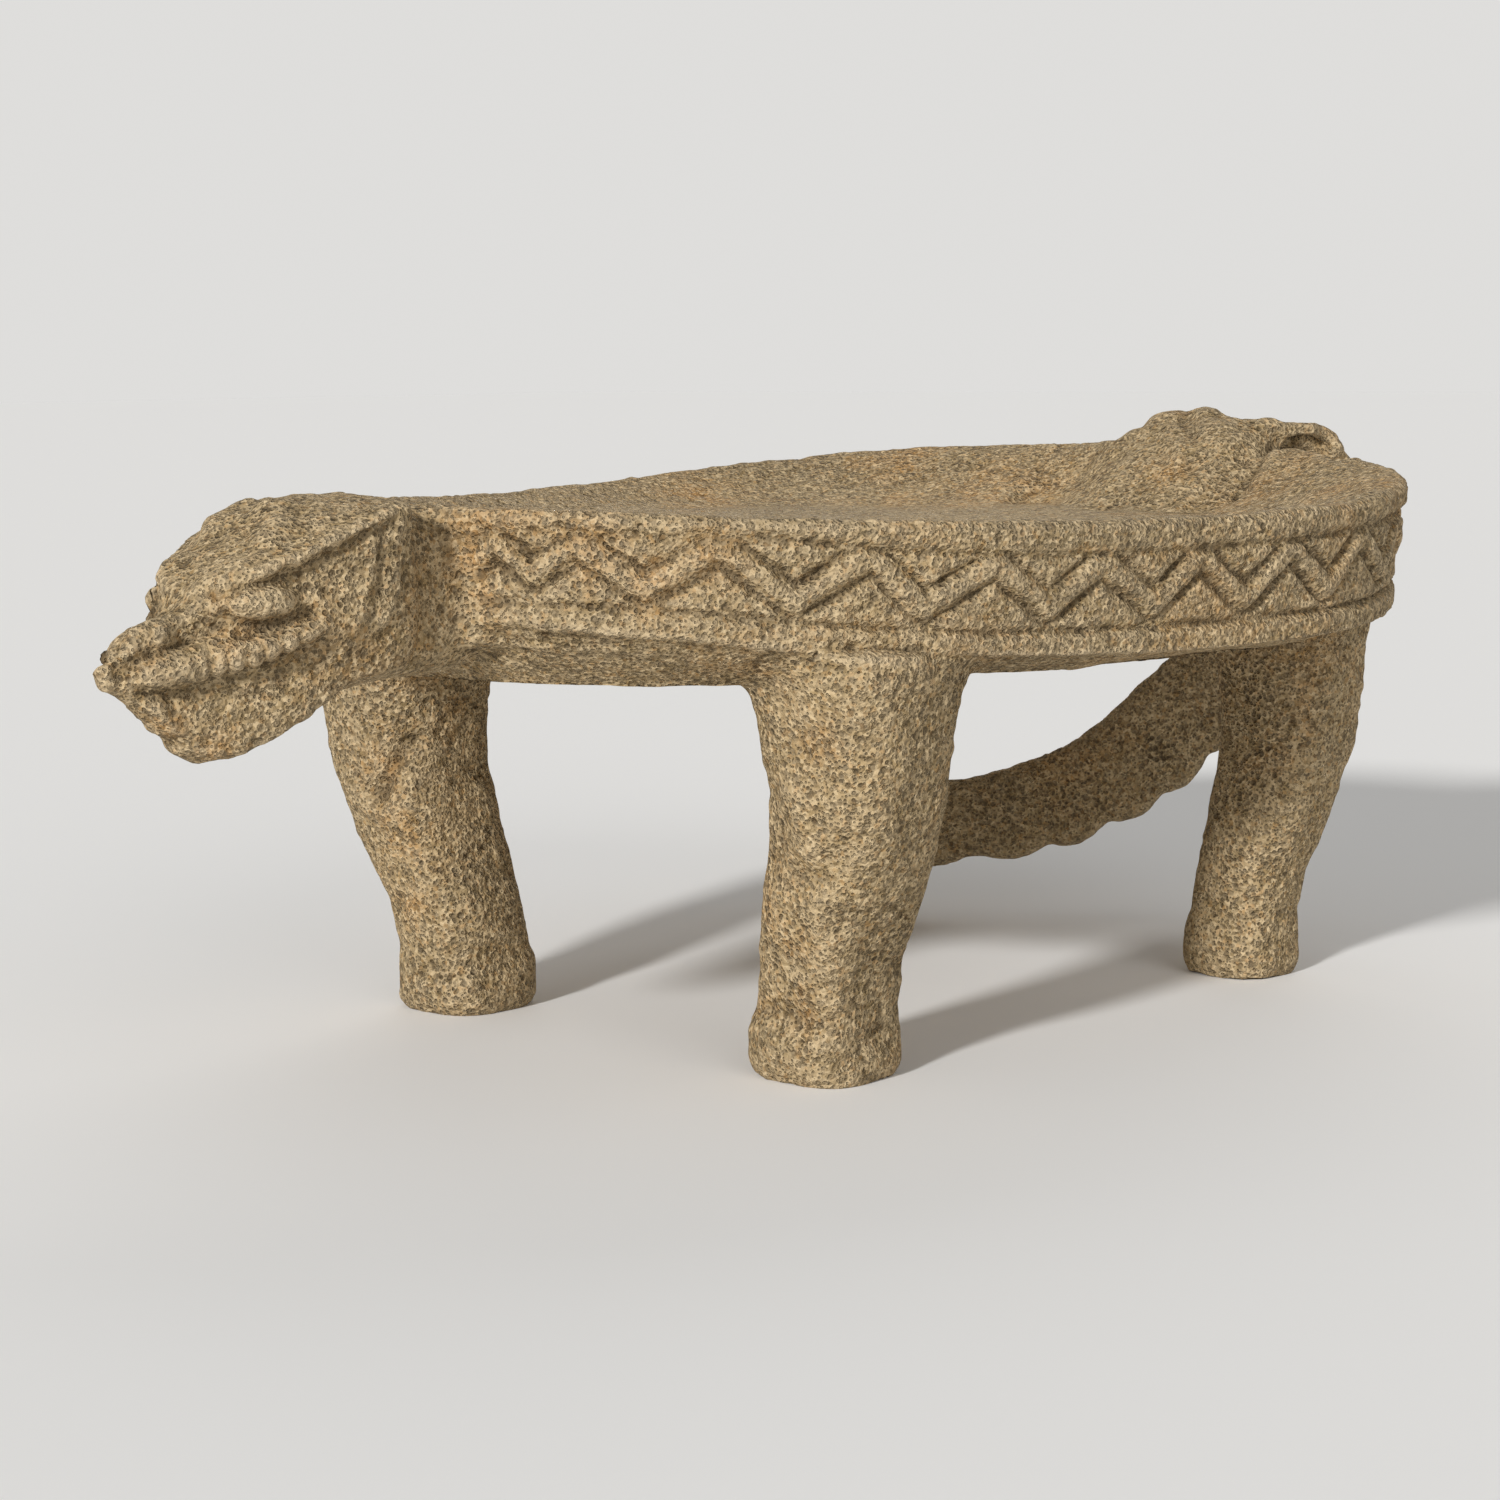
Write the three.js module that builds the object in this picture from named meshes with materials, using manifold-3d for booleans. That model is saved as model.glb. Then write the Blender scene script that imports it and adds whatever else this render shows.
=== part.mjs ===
// Metate: a grinding table carved from one block of volcanic stone as a standing jaguar.
// Millimetres, +Z up. The head looks along -X, the tail leaves the rear end at +X.
// The stone is shaped as one solid, then parted at flat joints into the zones a carver would name.
import * as THREE from "three";
import Module from "manifold-3d";
import { mergeVertices } from "three/addons/utils/BufferGeometryUtils.js";

const wasm = await Module();
wasm.setup();

// Joints between the zones of the stone
const jointGap = 0.3;
const overrun = 60;

// Plate, its side measured up from the flat underside
const plateHalfLength = 270;
const plateHalfWidth = 224;
const plateWideningShare = 0.24;
const plateSquarenessShare = 2.4;
const undersideHeight = 172;
const undersideInset = 37;
const bevelHeight = 7;
const lowerBorderHeight = 12;
const bandHeight = 33;
const topBorderHeight = 11;
const rimFrontRise = 11;
const rimRearRise = 21;
const rimWidth = 18;
const rimRounding = 4;
const wallDraft = 5;
const bowlDepth = 10;
const bowlWallRunShare = 1.5;
const bandSink = 1.5;
const grooveWidth = 3.5;
const grooveSink = 3.5;

const bandDepth = topBorderHeight + bandHeight;
const lowerBorderDepth = bandDepth + lowerBorderHeight;
const rimMiddleHeight = undersideHeight + bevelHeight + lowerBorderDepth;
const rimFrontHeight = rimMiddleHeight + rimFrontRise;
const rimRearHeight = rimMiddleHeight + rimRearRise;
const bowlFloorHeight = rimMiddleHeight - bowlDepth;

// Legs, their places measured in from the plate's edges
const frontLegInset = 149;
const rearLegInset = 91;
const frontLegSideInset = 112;
const rearLegSideInset = 99;
const frontLegLeanOut = 28;
const rearLegLeanOut = 23;
const frontLegLeanAlong = 11;
const rearLegLeanAlong = 6;
const frontLegThickness = 65;
const rearLegThickness = 57;
const legSquarenessShare = 3;
const legRootDepth = 16;

const frontLegSetback = plateHalfLength - frontLegInset;
const rearLegSetback = plateHalfLength - rearLegInset;
const frontLegSpread = plateHalfWidth - frontLegSideInset;
const rearLegSpread = plateHalfWidth - rearLegSideInset;

// Neck and collar
const neckHalfWidth = 40;
const neckHeight = 71;
const neckRise = 1;
const neckLength = 22;
const neckRoot = 16;
const collarLength = 9;
const collarRise = 3;
const neckSquarenessShare = 3.4;

const neckTopHeight = rimFrontHeight + neckRise;
const neckUndersideHeight = neckTopHeight - neckHeight;

// Head
const headLength = 117;
const headHeight = 103;
const headHalfWidth = 44;
const eyeHeight = 14;
const eyeBulge = 12;
const nostrilWidth = 15;
const lipTipWidth = 12;

const crownHeight = neckTopHeight + collarRise;

// Tail
const tailThickness = 18;
const tailRootLength = 84;
const tailRootWidth = 122;
const tailReach = 58;
const tailSideInset = 20;
const tailRise = 13;
const tailFootHeight = 49;
const scallopCount = 15;
const scallopDepth = 5;
const tailHoldShare = 1.1;

const tailSwing = rearLegSpread - tailSideInset;
const tailTopHeight = rimRearHeight + tailRise;

// Fineness of the curved surfaces
const plateSegments = 96;
const legSegments = 28;
const tailSteps = 90;
const tailSegments = 12;
const roundSegments = 14;

const stoneMaterial = (color) => new THREE.MeshStandardMaterial({ color, roughness: 0.95, metalness: 0 });

// A three.js geometry as a solid that can be joined and cut
function solid(geometry) {
  const bare = geometry.index ? geometry.toNonIndexed() : geometry.clone();
  bare.deleteAttribute("normal");
  bare.deleteAttribute("uv");
  const merged = mergeVertices(bare);
  return new wasm.Manifold(new wasm.Mesh({
    numProp: 3,
    vertProperties: new Float32Array(merged.attributes.position.array),
    triVerts: new Uint32Array(merged.index.array),
  }));
}

function geometryOf(body) {
  const mesh = body.getMesh();
  const geometry = new THREE.BufferGeometry();
  geometry.setAttribute("position", new THREE.BufferAttribute(mesh.vertProperties, 3));
  geometry.setIndex(new THREE.BufferAttribute(mesh.triVerts, 1));
  geometry.computeVertexNormals();
  return geometry;
}

function joined(bodies) {
  return bodies.reduce((whole, body) => whole.add(body));
}

// A closed skin through loops of equally many points, the first and last loop filled in
function skin(loops) {
  const count = loops[0].length;
  const points = loops.flat();
  const faces = [];
  for (let row = 0; row < loops.length - 1; row += 1) {
    for (let i = 0; i < count; i += 1) {
      const next = (i + 1) % count;
      const a = row * count + i;
      const b = row * count + next;
      faces.push(a, b, b + count, a, b + count, a + count);
    }
  }
  const middle = (loop) => {
    const sum = loop.reduce((total, point) => total.add(point), new THREE.Vector3());
    return sum.divideScalar(count);
  };
  const firstMiddle = points.push(middle(loops[0])) - 1;
  const lastMiddle = points.push(middle(loops[loops.length - 1])) - 1;
  const lastRow = (loops.length - 1) * count;
  for (let i = 0; i < count; i += 1) {
    const next = (i + 1) % count;
    faces.push(firstMiddle, next, i, lastMiddle, lastRow + i, lastRow + next);
  }
  const geometry = new THREE.BufferGeometry().setFromPoints(points);
  geometry.setIndex(faces);
  return solid(geometry);
}

// A point on a rounded oval, between an ellipse and a rectangle
function ovalPoint(turn, halfX, halfY, squareness) {
  const power = 2 / squareness;
  const c = Math.cos(turn);
  const s = Math.sin(turn);
  return new THREE.Vector2(
    halfX * Math.sign(c) * Math.abs(c) ** power,
    halfY * Math.sign(s) * Math.abs(s) ** power,
  );
}

function turns(count) {
  return Array.from({ length: count }, (_, i) => (i / count) * Math.PI * 2);
}

function boxBetween(low, high) {
  const size = new THREE.Vector3().subVectors(high, low);
  const box = new THREE.BoxGeometry(size.x, size.y, size.z);
  box.translate((low.x + high.x) / 2, (low.y + high.y) / 2, (low.z + high.z) / 2);
  return box;
}

// An egg-shaped lump, its long way along `direction`
function lump(centre, length, width, height, direction = new THREE.Vector3(1, 0, 0)) {
  const ball = new THREE.SphereGeometry(1, roundSegments, roundSegments / 2);
  ball.scale(length / 2, width / 2, height / 2);
  const longWay = new THREE.Vector3(1, 0, 0);
  ball.applyQuaternion(new THREE.Quaternion().setFromUnitVectors(longWay, direction.clone().normalize()));
  ball.translate(centre.x, centre.y, centre.z);
  return solid(ball);
}

// The rim dips along the sides and rises to both ends
function rimHeight(along) {
  const endHeight = along < 0 ? rimFrontHeight : rimRearHeight;
  return rimMiddleHeight + (endHeight - rimMiddleHeight) * along ** 2;
}

// Rounding of the rim's outer edge as shares: inward and down
const rimRoundingShares = [[0.1, 1], [0.3, 0.3], [1, 0]];

function plate() {
  const loop = (inset, heightAt) => turns(plateSegments).map((turn) => {
    const outer = ovalPoint(turn, plateHalfLength, plateHalfWidth, plateSquarenessShare);
    const along = outer.x / plateHalfLength;
    const step = typeof inset === "function" ? inset(along) : inset;
    const flat = ovalPoint(turn, plateHalfLength - step, plateHalfWidth - step, plateSquarenessShare);
    return new THREE.Vector3(flat.x, flat.y * (1 + plateWideningShare * along), heightAt(along));
  });
  // The outer wall draws in a little toward its lower edge
  const wall = (sink, depth) => loop(
    sink + (wallDraft * depth) / lowerBorderDepth,
    (along) => rimHeight(along) - depth,
  );
  const wallFoot = (along) => rimWidth + (rimHeight(along) - bowlFloorHeight) * bowlWallRunShare;
  return skin([
    loop(undersideInset, () => undersideHeight),
    wall(bandSink, lowerBorderDepth),
    wall(0, lowerBorderDepth - bandSink),
    wall(0, bandDepth + grooveWidth),
    wall(grooveSink, bandDepth + grooveWidth / 2),
    wall(bandSink, bandDepth),
    wall(bandSink, topBorderHeight + grooveWidth),
    wall(grooveSink, topBorderHeight + grooveWidth / 2),
    wall(0, topBorderHeight),
    ...rimRoundingShares.map(([inwardShare, downShare]) => loop(
      rimRounding * inwardShare,
      (along) => rimHeight(along) - rimRounding * downShare,
    )),
    loop(rimWidth, rimHeight),
    loop(wallFoot, () => bowlFloorHeight),
  ]);
}

// Outline of a leg from the sole up: height, lean and thickness as shares of the full values
const legHeightShares = [0, 0.03, 0.12, 0.18, 0.3, 0.47, 0.66, 0.83, 0.92, 0.97, 1];
const legLeanShares = [0, 0, 0, 0.05, 0.2, 0.6, 0.92, 1, 0.96, 0.93, 0.9];
const legThicknessShares = [0.8, 0.88, 0.88, 0.82, 0.84, 0.94, 1, 1.07, 1.14, 1.2, 1.28];

function leg(along, across) {
  const rear = along > 0;
  const centreX = rear ? rearLegSetback : -frontLegSetback;
  const spread = rear ? rearLegSpread : frontLegSpread;
  const thickness = rear ? rearLegThickness : frontLegThickness;
  const leanOut = rear ? rearLegLeanOut : frontLegLeanOut;
  const leanAlong = rear ? rearLegLeanAlong : frontLegLeanAlong;
  const loops = legHeightShares.map((heightShare, i) => {
    const half = (thickness / 2) * legThicknessShares[i];
    const x = centreX + along * leanAlong * legLeanShares[i];
    const y = across * (spread + leanOut * legLeanShares[i]);
    return turns(legSegments).map((turn) => {
      const flat = ovalPoint(turn, half, half, legSquarenessShare);
      return new THREE.Vector3(x + flat.x, y + flat.y, undersideHeight * heightShare);
    });
  });
  const top = loops[loops.length - 1].map((point) => point.clone().setZ(undersideHeight + legRootDepth));
  return skin([...loops, top]);
}

// An upright oval section across the neck, at one place along X
function acrossSection(x, halfWidth, lowHeight, highHeight, squareness) {
  return turns(legSegments).map((turn) => {
    const flat = ovalPoint(turn, halfWidth, (highHeight - lowHeight) / 2, squareness);
    return new THREE.Vector3(x, -flat.x, (highHeight + lowHeight) / 2 + flat.y);
  });
}

const collarFront = -(plateHalfLength + neckLength);

function neck() {
  const start = -(plateHalfLength - neckRoot);
  const collarStart = collarFront + collarLength;
  const section = (x, rise) => acrossSection(
    x, neckHalfWidth + rise, neckUndersideHeight, neckTopHeight + rise, neckSquarenessShare,
  );
  return skin([
    section(start, 0),
    section(collarStart, 0),
    section(collarStart - collarRise, collarRise),
    section(collarFront - collarRise, collarRise),
  ]);
}

// Sections of the head as shares: forward from the collar, how far up the crown is, then out and up
// for brow, eye hollow, cheek, mouth hollow and jaw, and last how far up the chin is
const headSectionShares = [
  [-0.04, 1.01, 1.023, 0.981, 1, 0.786, 1, 0.592, 0.977, 0.476, 0.886, 0.33, 0.243],
  [0.051, 1.005, 1.045, 0.961, 1, 0.777, 1.011, 0.592, 0.966, 0.476, 0.886, 0.33, 0.243],
  [0.137, 1, 1.034, 0.922, 0.966, 0.767, 1, 0.583, 0.943, 0.466, 0.864, 0.33, 0.252],
  [0.231, 0.976, 0.977, 0.888, 0.898, 0.748, 0.977, 0.563, 0.886, 0.447, 0.807, 0.282, 0.214],
  [0.325, 0.932, 0.909, 0.845, 0.795, 0.718, 0.932, 0.539, 0.818, 0.417, 0.716, 0.199, 0.136],
  [0.427, 0.864, 0.818, 0.796, 0.659, 0.68, 0.852, 0.5, 0.727, 0.379, 0.591, 0.126, 0.073],
  [0.53, 0.796, 0.705, 0.743, 0.534, 0.646, 0.727, 0.456, 0.602, 0.34, 0.42, 0.063, 0.029],
  [0.615, 0.723, 0.557, 0.689, 0.42, 0.612, 0.614, 0.422, 0.489, 0.311, 0.295, 0.053, 0.024],
  [0.684, 0.641, 0.386, 0.621, 0.33, 0.563, 0.511, 0.408, 0.398, 0.301, 0.25, 0.092, 0.053],
  [0.752, 0.597, 0.307, 0.573, 0.25, 0.51, 0.42, 0.398, 0.318, 0.296, 0.227, 0.17, 0.131],
  [0.821, 0.578, 0.273, 0.553, 0.227, 0.485, 0.341, 0.388, 0.261, 0.301, 0.205, 0.238, 0.209],
  [0.88, 0.549, 0.239, 0.524, 0.193, 0.466, 0.261, 0.379, 0.193, 0.316, 0.159, 0.291, 0.272],
  [0.932, 0.476, 0.159, 0.461, 0.136, 0.427, 0.159, 0.369, 0.125, 0.34, 0.091, 0.33, 0.32],
];
const domeOutShare = 0.55;
const domeDropShare = 0.3;

// Features of one side of the face as shares: forward, out from the middle, and up the head
const eyeFromShares = [0.427, 0.7, 0.62];
const eyeToShares = [0.615, 0.47, 0.62];
const nostrilShares = [0.815, 0.14, 0.505];
const lipTipShares = [0.95, 0, 0.41];

function headPoint([forwardShare, outShare, upShare], side) {
  return new THREE.Vector3(
    collarFront - headLength * forwardShare,
    side * headHalfWidth * outShare,
    crownHeight - headHeight * (1 - upShare),
  );
}

// One section of the head, up the left side, over the crown and down the right side
function headSection([forwardShare, crownShare, ...shares]) {
  const chinShare = shares[shares.length - 1];
  const [browOutShare, browUpShare] = shares;
  const side = [[browOutShare * domeOutShare, crownShare - (crownShare - browUpShare) * domeDropShare]];
  for (let i = 0; i + 1 < shares.length; i += 2) side.push([shares[i], shares[i + 1]]);
  const at = ([outShare, upShare], sign) => headPoint([forwardShare, outShare, upShare], sign);
  return [
    ...side.map((share) => at(share, -1)).reverse(),
    at([0, crownShare], 1),
    ...side.map((share) => at(share, 1)),
    at([0, chinShare], 1),
  ];
}

function head() {
  const lipTip = lump(headPoint(lipTipShares, 1), lipTipWidth, lipTipWidth, lipTipWidth);
  return joined([skin(headSectionShares.map(headSection)), lipTip, ...[-1, 1].flatMap(faceOfOneSide)]);
}

function faceOfOneSide(side) {
  const eyeFrom = headPoint(eyeFromShares, side);
  const eyeTo = headPoint(eyeToShares, side);
  const along = new THREE.Vector3().subVectors(eyeTo, eyeFrom);
  const eyeMiddle = eyeFrom.add(eyeTo).divideScalar(2);
  return [
    lump(eyeMiddle, along.length() + eyeBulge, eyeBulge, eyeHeight, along),
    lump(headPoint(nostrilShares, side), nostrilWidth, nostrilWidth, nostrilWidth),
  ];
}

// Edges of the tail's broad band from its root on the rim to the rear leg, as shares: out behind
// the plate or in under it toward the leg, sideways, and up from the foot of the tail to its top
const tailInnerShares = [
  [-0.26, 0.1, 0.93], [-0.02, -0.1, 1], [0.38, -0.34, 0.98], [0.6, -0.44, 0.87], [0.62, -0.42, 0.7],
  [0.52, -0.27, 0.52], [0.31, -0.03, 0.41], [-0.11, 0.28, 0.23], [-0.44, 0.61, 0.14], [-0.88, 1, 0.105],
];
const tailOuterShares = [
  [-0.26, -0.76, 0.93], [0, -0.9, 0.965], [0.52, -0.98, 0.945], [0.88, -0.98, 0.85], [1.03, -0.95, 0.68],
  [0.97, -0.74, 0.43], [0.6, -0.23, 0.15], [0.12, 0.09, 0.01], [-0.33, 0.5, -0.08], [-0.88, 1.02, -0.114],
];

function tailEdge(shares) {
  const climb = tailTopHeight - tailFootHeight;
  return new THREE.CatmullRomCurve3(shares.map(([out, sideways, up]) => new THREE.Vector3(
    plateHalfLength + (out > 0 ? tailReach : rearLegInset) * out,
    tailSwing * sideways,
    tailFootHeight + climb * up,
  )));
}

function tailBand() {
  const inner = tailEdge(tailInnerShares);
  const outer = tailEdge(tailOuterShares);
  const loops = [];
  for (let step = 0; step <= tailSteps; step += 1) {
    const t = step / tailSteps;
    const from = inner.getPoint(t);
    const to = outer.getPoint(t);
    const across = new THREE.Vector3().subVectors(to, from);
    const middle = new THREE.Vector3().addVectors(from, to).divideScalar(2);
    const forward = inner.getTangent(t).add(outer.getTangent(t));
    const face = new THREE.Vector3().crossVectors(forward, across).normalize();
    const scallop = scallopDepth * (Math.abs(Math.sin(t * Math.PI * scallopCount)) - 1);
    const halfWidth = across.length() / 2;
    across.normalize();
    loops.push(turns(tailSegments).map((turn) => {
      const flat = ovalPoint(turn, halfWidth, tailThickness / 2, legSquarenessShare);
      const reach = flat.x > 0 ? flat.x + scallop * (flat.x / halfWidth) : flat.x;
      return middle.clone().addScaledVector(across, reach).addScaledVector(face, flat.y);
    }));
  }
  return skin(loops);
}

// The tail's root climbs from the bowl floor to the rear rim. Its profile as shares: inward and up
const rootProfileShares = [
  [0, -0.3], [1, -0.3], [1, 0], [0.82, 0.2], [0.62, 0.48], [0.42, 0.78], [0.26, 0.95], [0.12, 1], [0, 0.98],
];
// Its spread to the sides as shares: the place across and how much of the profile is left there
const rootSpreadShares = [
  [-1, 0.45], [-0.9, 0.75], [-0.7, 0.95], [-0.3, 1], [0.2, 1], [0.6, 0.85], [0.85, 0.6], [1, 0.3],
];

function tailRoot() {
  const middle = (tailInnerShares[0][1] + tailOuterShares[0][1]) / 2;
  const rise = tailTopHeight - bowlFloorHeight;
  return skin(rootSpreadShares.map(([sideShare, sizeShare]) => {
    const y = tailSwing * middle + (tailRootWidth / 2) * sideShare;
    return rootProfileShares.map(([inwardShare, upShare]) => new THREE.Vector3(
      plateHalfLength - bandSink - tailRootLength * inwardShare * sizeShare,
      y,
      bowlFloorHeight + rise * (upShare > 0 ? upShare * sizeShare : upShare),
    ));
  }));
}

// The whole stone in one piece
const legSides = { front: -1, rear: 1 };
const legHands = { left: -1, right: 1 };
const legPair = (along) => [leg(along, legHands.left), leg(along, legHands.right)];
const legPairs = [...legPair(legSides.front), ...legPair(legSides.rear)];
const stone = joined([plate(), neck(), head(), tailRoot(), tailBand(), ...legPairs]);

// Flat joints that part the stone
const wide = plateHalfWidth * 2;
const jointAtNeck = -(plateHalfLength + bandSink);
const jointAtTail = plateHalfLength + bandSink;
const farFront = -(plateHalfLength + neckLength + headLength + overrun);
const farRear = plateHalfLength + tailReach * 2;
const high = tailTopHeight + overrun;

function zone(lowX, highX, lowY, highY, lowZ, highZ) {
  return solid(boxBetween(new THREE.Vector3(lowX, lowY, lowZ), new THREE.Vector3(highX, highY, highZ)));
}

// A turned block under the plate that holds the tail's low stretch, from its joint with the rear right leg
function tailBlock(gap) {
  const legCentre = new THREE.Vector2(rearLegSetback, rearLegSpread);
  const nearLeg = tailInnerShares.length - 2;
  const innerPoint = tailEdge(tailInnerShares).points[nearLeg];
  const outerPoint = tailEdge(tailOuterShares).points[nearLeg];
  const bandPoint = new THREE.Vector2((innerPoint.x + outerPoint.x) / 2, (innerPoint.y + outerPoint.y) / 2);
  const away = bandPoint.sub(legCentre).normalize();
  const hold = (rearLegThickness / 2) * tailHoldShare - gap;
  const block = new THREE.BoxGeometry(plateHalfWidth, tailReach * 2, undersideHeight);
  block.translate(hold + plateHalfWidth / 2, 0, 0);
  block.rotateZ(Math.atan2(away.y, away.x));
  block.translate(legCentre.x, legCentre.y, tailFootHeight);
  return solid(block);
}

const legTop = undersideHeight - jointGap;
const neckRootEnd = -(plateHalfLength - neckRoot);
const legsFront = neckRootEnd + jointGap;

const zones = {
  grinding_plate: zone(jointAtNeck, jointAtTail, -wide, wide, undersideHeight, high)
    .add(zone(jointAtNeck, neckRootEnd, -wide, wide, -overrun, undersideHeight)),
  neck: zone(collarFront + jointGap, jointAtNeck - jointGap, -wide, wide, -overrun, high),
  head: zone(farFront, collarFront, -wide, wide, -overrun, high),
  leg_front_left: zone(legsFront, 0, -wide, 0, -overrun, legTop),
  leg_front_right: zone(legsFront, 0, 0, wide, -overrun, legTop),
  leg_rear_left: zone(0, jointAtTail, -wide, -rearLegSpread / 2, -overrun, legTop),
  leg_rear_right: zone(0, jointAtTail, 0, wide, -overrun, legTop).subtract(tailBlock(jointGap)),
  tail: zone(jointAtTail + jointGap, farRear, -wide, wide, -overrun, high).add(tailBlock(0)),
};

const zoneColours = {
  grinding_plate: 0xb8a582,
  neck: 0xb3a07d,
  head: 0xb5a27f,
  leg_front_left: 0xb3a07d,
  leg_front_right: 0xb3a07d,
  leg_rear_left: 0xaf9c7a,
  leg_rear_right: 0xaf9c7a,
  tail: 0xaa9877,
};

const metate = new THREE.Group();
for (const [name, cut] of Object.entries(zones)) {
  const mesh = new THREE.Mesh(geometryOf(stone.intersect(cut)), stoneMaterial(zoneColours[name]));
  mesh.name = name;
  metate.add(mesh);
}

// The origin is the middle of the outer box, on the ground
const outerBox = new THREE.Box3().setFromObject(metate);
const middle = outerBox.getCenter(new THREE.Vector3());
metate.position.set(-middle.x, -middle.y, -outerBox.min.z);

export default metate;
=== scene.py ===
"""Carved stone metate: its looks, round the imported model. Lengths are in mm unless a name ends in _M."""
import math
from dataclasses import dataclass

import bmesh
import bpy
import numpy as np
from mathutils import Matrix, Vector
from mathutils.bvhtree import BVHTree


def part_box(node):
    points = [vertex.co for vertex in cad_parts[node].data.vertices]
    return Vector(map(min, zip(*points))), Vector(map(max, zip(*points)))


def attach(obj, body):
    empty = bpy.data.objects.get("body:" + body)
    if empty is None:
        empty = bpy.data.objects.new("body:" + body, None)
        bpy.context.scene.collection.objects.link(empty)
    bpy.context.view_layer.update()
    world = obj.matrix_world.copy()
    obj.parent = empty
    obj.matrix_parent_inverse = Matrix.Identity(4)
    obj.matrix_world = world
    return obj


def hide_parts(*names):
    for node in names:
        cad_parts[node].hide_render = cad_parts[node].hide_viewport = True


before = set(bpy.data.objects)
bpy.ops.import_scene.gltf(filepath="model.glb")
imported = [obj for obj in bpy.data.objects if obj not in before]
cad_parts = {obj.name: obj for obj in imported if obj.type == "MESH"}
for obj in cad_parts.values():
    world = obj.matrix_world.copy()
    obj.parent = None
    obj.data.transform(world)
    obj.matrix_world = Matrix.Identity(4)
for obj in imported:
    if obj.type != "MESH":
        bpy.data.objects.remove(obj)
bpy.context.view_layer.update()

MM = 0.001
scene = bpy.context.scene

# Camera, fitted to the photograph
PHOTO_SIZE = 1500
FOCAL_PX = 3103.0
CAMERA_AZIMUTH = math.radians(-47.8)
CAMERA_ELEVATION = math.radians(7.2)
CAMERA_ROLL = math.radians(0.49)
CAMERA_DISTANCE = 1430.4
CAMERA_TARGET = np.array([-14.8, -7.7, 124.0])
SENSOR_WIDTH = 36.0
CLIP_START_M = 0.05
CLIP_END_M = 50


def camera_axes():
    """Right, down and forward of the picture, as unit vectors."""
    a, e, r = CAMERA_AZIMUTH, CAMERA_ELEVATION, CAMERA_ROLL
    forward = -np.array([math.sin(a) * math.cos(e), -math.cos(a) * math.cos(e), math.sin(e)])
    level = np.array([math.cos(a), math.sin(a), 0.0])
    steep = np.cross(forward, level)
    right = level * math.cos(r) + steep * math.sin(r)
    down = steep * math.cos(r) - level * math.sin(r)
    return right, down, forward


RIGHT, DOWN, FORWARD = camera_axes()
CAMERA_PLACE = CAMERA_TARGET - FORWARD * CAMERA_DISTANCE


def add_camera():
    data = bpy.data.cameras.new("camera")
    data.sensor_width = SENSOR_WIDTH
    data.lens = FOCAL_PX * SENSOR_WIDTH / PHOTO_SIZE
    data.clip_start = CLIP_START_M
    data.clip_end = CLIP_END_M
    camera = bpy.data.objects.new("camera", data)
    scene.collection.objects.link(camera)
    turn = Matrix([[RIGHT[i], -DOWN[i], -FORWARD[i]] for i in range(3)])
    camera.matrix_world = Matrix.Translation(Vector(CAMERA_PLACE * MM)) @ turn.to_4x4()
    scene.camera = camera


# Places and sizes read from the solids
NODE_BOX = {name: [np.array(corner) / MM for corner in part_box(name)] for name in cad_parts}
PLATE_LOW, PLATE_HIGH = NODE_BOX["grinding_plate"]
JOINT_NECK = PLATE_LOW[0]
JOINT_TAIL = PLATE_HIGH[0]
COLLAR_FRONT = NODE_BOX["head"][1][0]
UNDERSIDE = PLATE_LOW[2]
LEG_JOINT_DROP = 0.9
LEG_JOINT = UNDERSIDE - LEG_JOINT_DROP
PLATE_MIDDLE = (JOINT_NECK + JOINT_TAIL) / 2

# The plate, as in part.mjs
BAND_SINK = 1.5
HALF_LENGTH = (JOINT_TAIL - JOINT_NECK) / 2 - BAND_SINK
HALF_WIDTH = 224.0
WIDENING = 0.24
SQUARENESS = 2.4
RIM_MIDDLE = 235.0
RIM_FRONT = 246.0
RIM_REAR = 256.0
RIM_WIDTH = 18.0
BOWL_FLOOR = 225.0
BOWL_RUN = 1.5
UNDERSIDE_INSET = 37.0
WALL_DRAFT = 5.0
LOWER_EDGE = 56.0

# The legs' tops, as places behind the plate's middle and out to each side,
# and the joint between the tail and the rear right leg
LEG_TOPS = ((-129, 136), (184, 144))
LEG_CENTRES = [(PLATE_MIDDLE + behind, side * out) for behind, out in LEG_TOPS for side in (-1, 1)]
REAR_RIGHT_LEG = np.array([PLATE_MIDDLE + 179.0, 125.0])
TAIL_AWAY = np.array([0.6427, -0.7661])
TAIL_HOLD = 31.2
TAIL_SIDE = -60.0
TAIL_BACK = 285.0

# Where the tail root and the neck meet the plate: each pair of places leads from no share to a full one.
# The root's pairs lie in x, from the right and from the left, the neck's in x and out from the middle.
ROOT_AT_WALL = ((285, 295), (12, 0), (-118, -108))
ROOT_IN_BOWL = ((165, 182), (42, 30), (-112, -100))
ROOT_FILLET = ((150, 165), (60, 45), (-125, -110))
NECK_AT_WALL = ((-212, -226), (58, 46))
NECK_IN_BOWL = ((-212, -224), (60, 46))

# The top of the tail root and the nose, which are lowered to their edges on the photograph
ROOT_TOP_LOW = (160, -120, 228)
ROOT_TOP_RIGHT = 60
NOSE_BACK = -325
NOSE_BOTTOM = 175

# The skin round all the solids, and what the cuts through it may reach
VOXEL = 1.6
GROWTH = 0.35
SAME_PLACE = 0.001
CUT_REACH = VOXEL * 3
CUT_SNAP = 0.12
REAR_WALL_BOTTOM = 150
LEGS_FRONT = -200
TAIL_FRONT = 100

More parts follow.
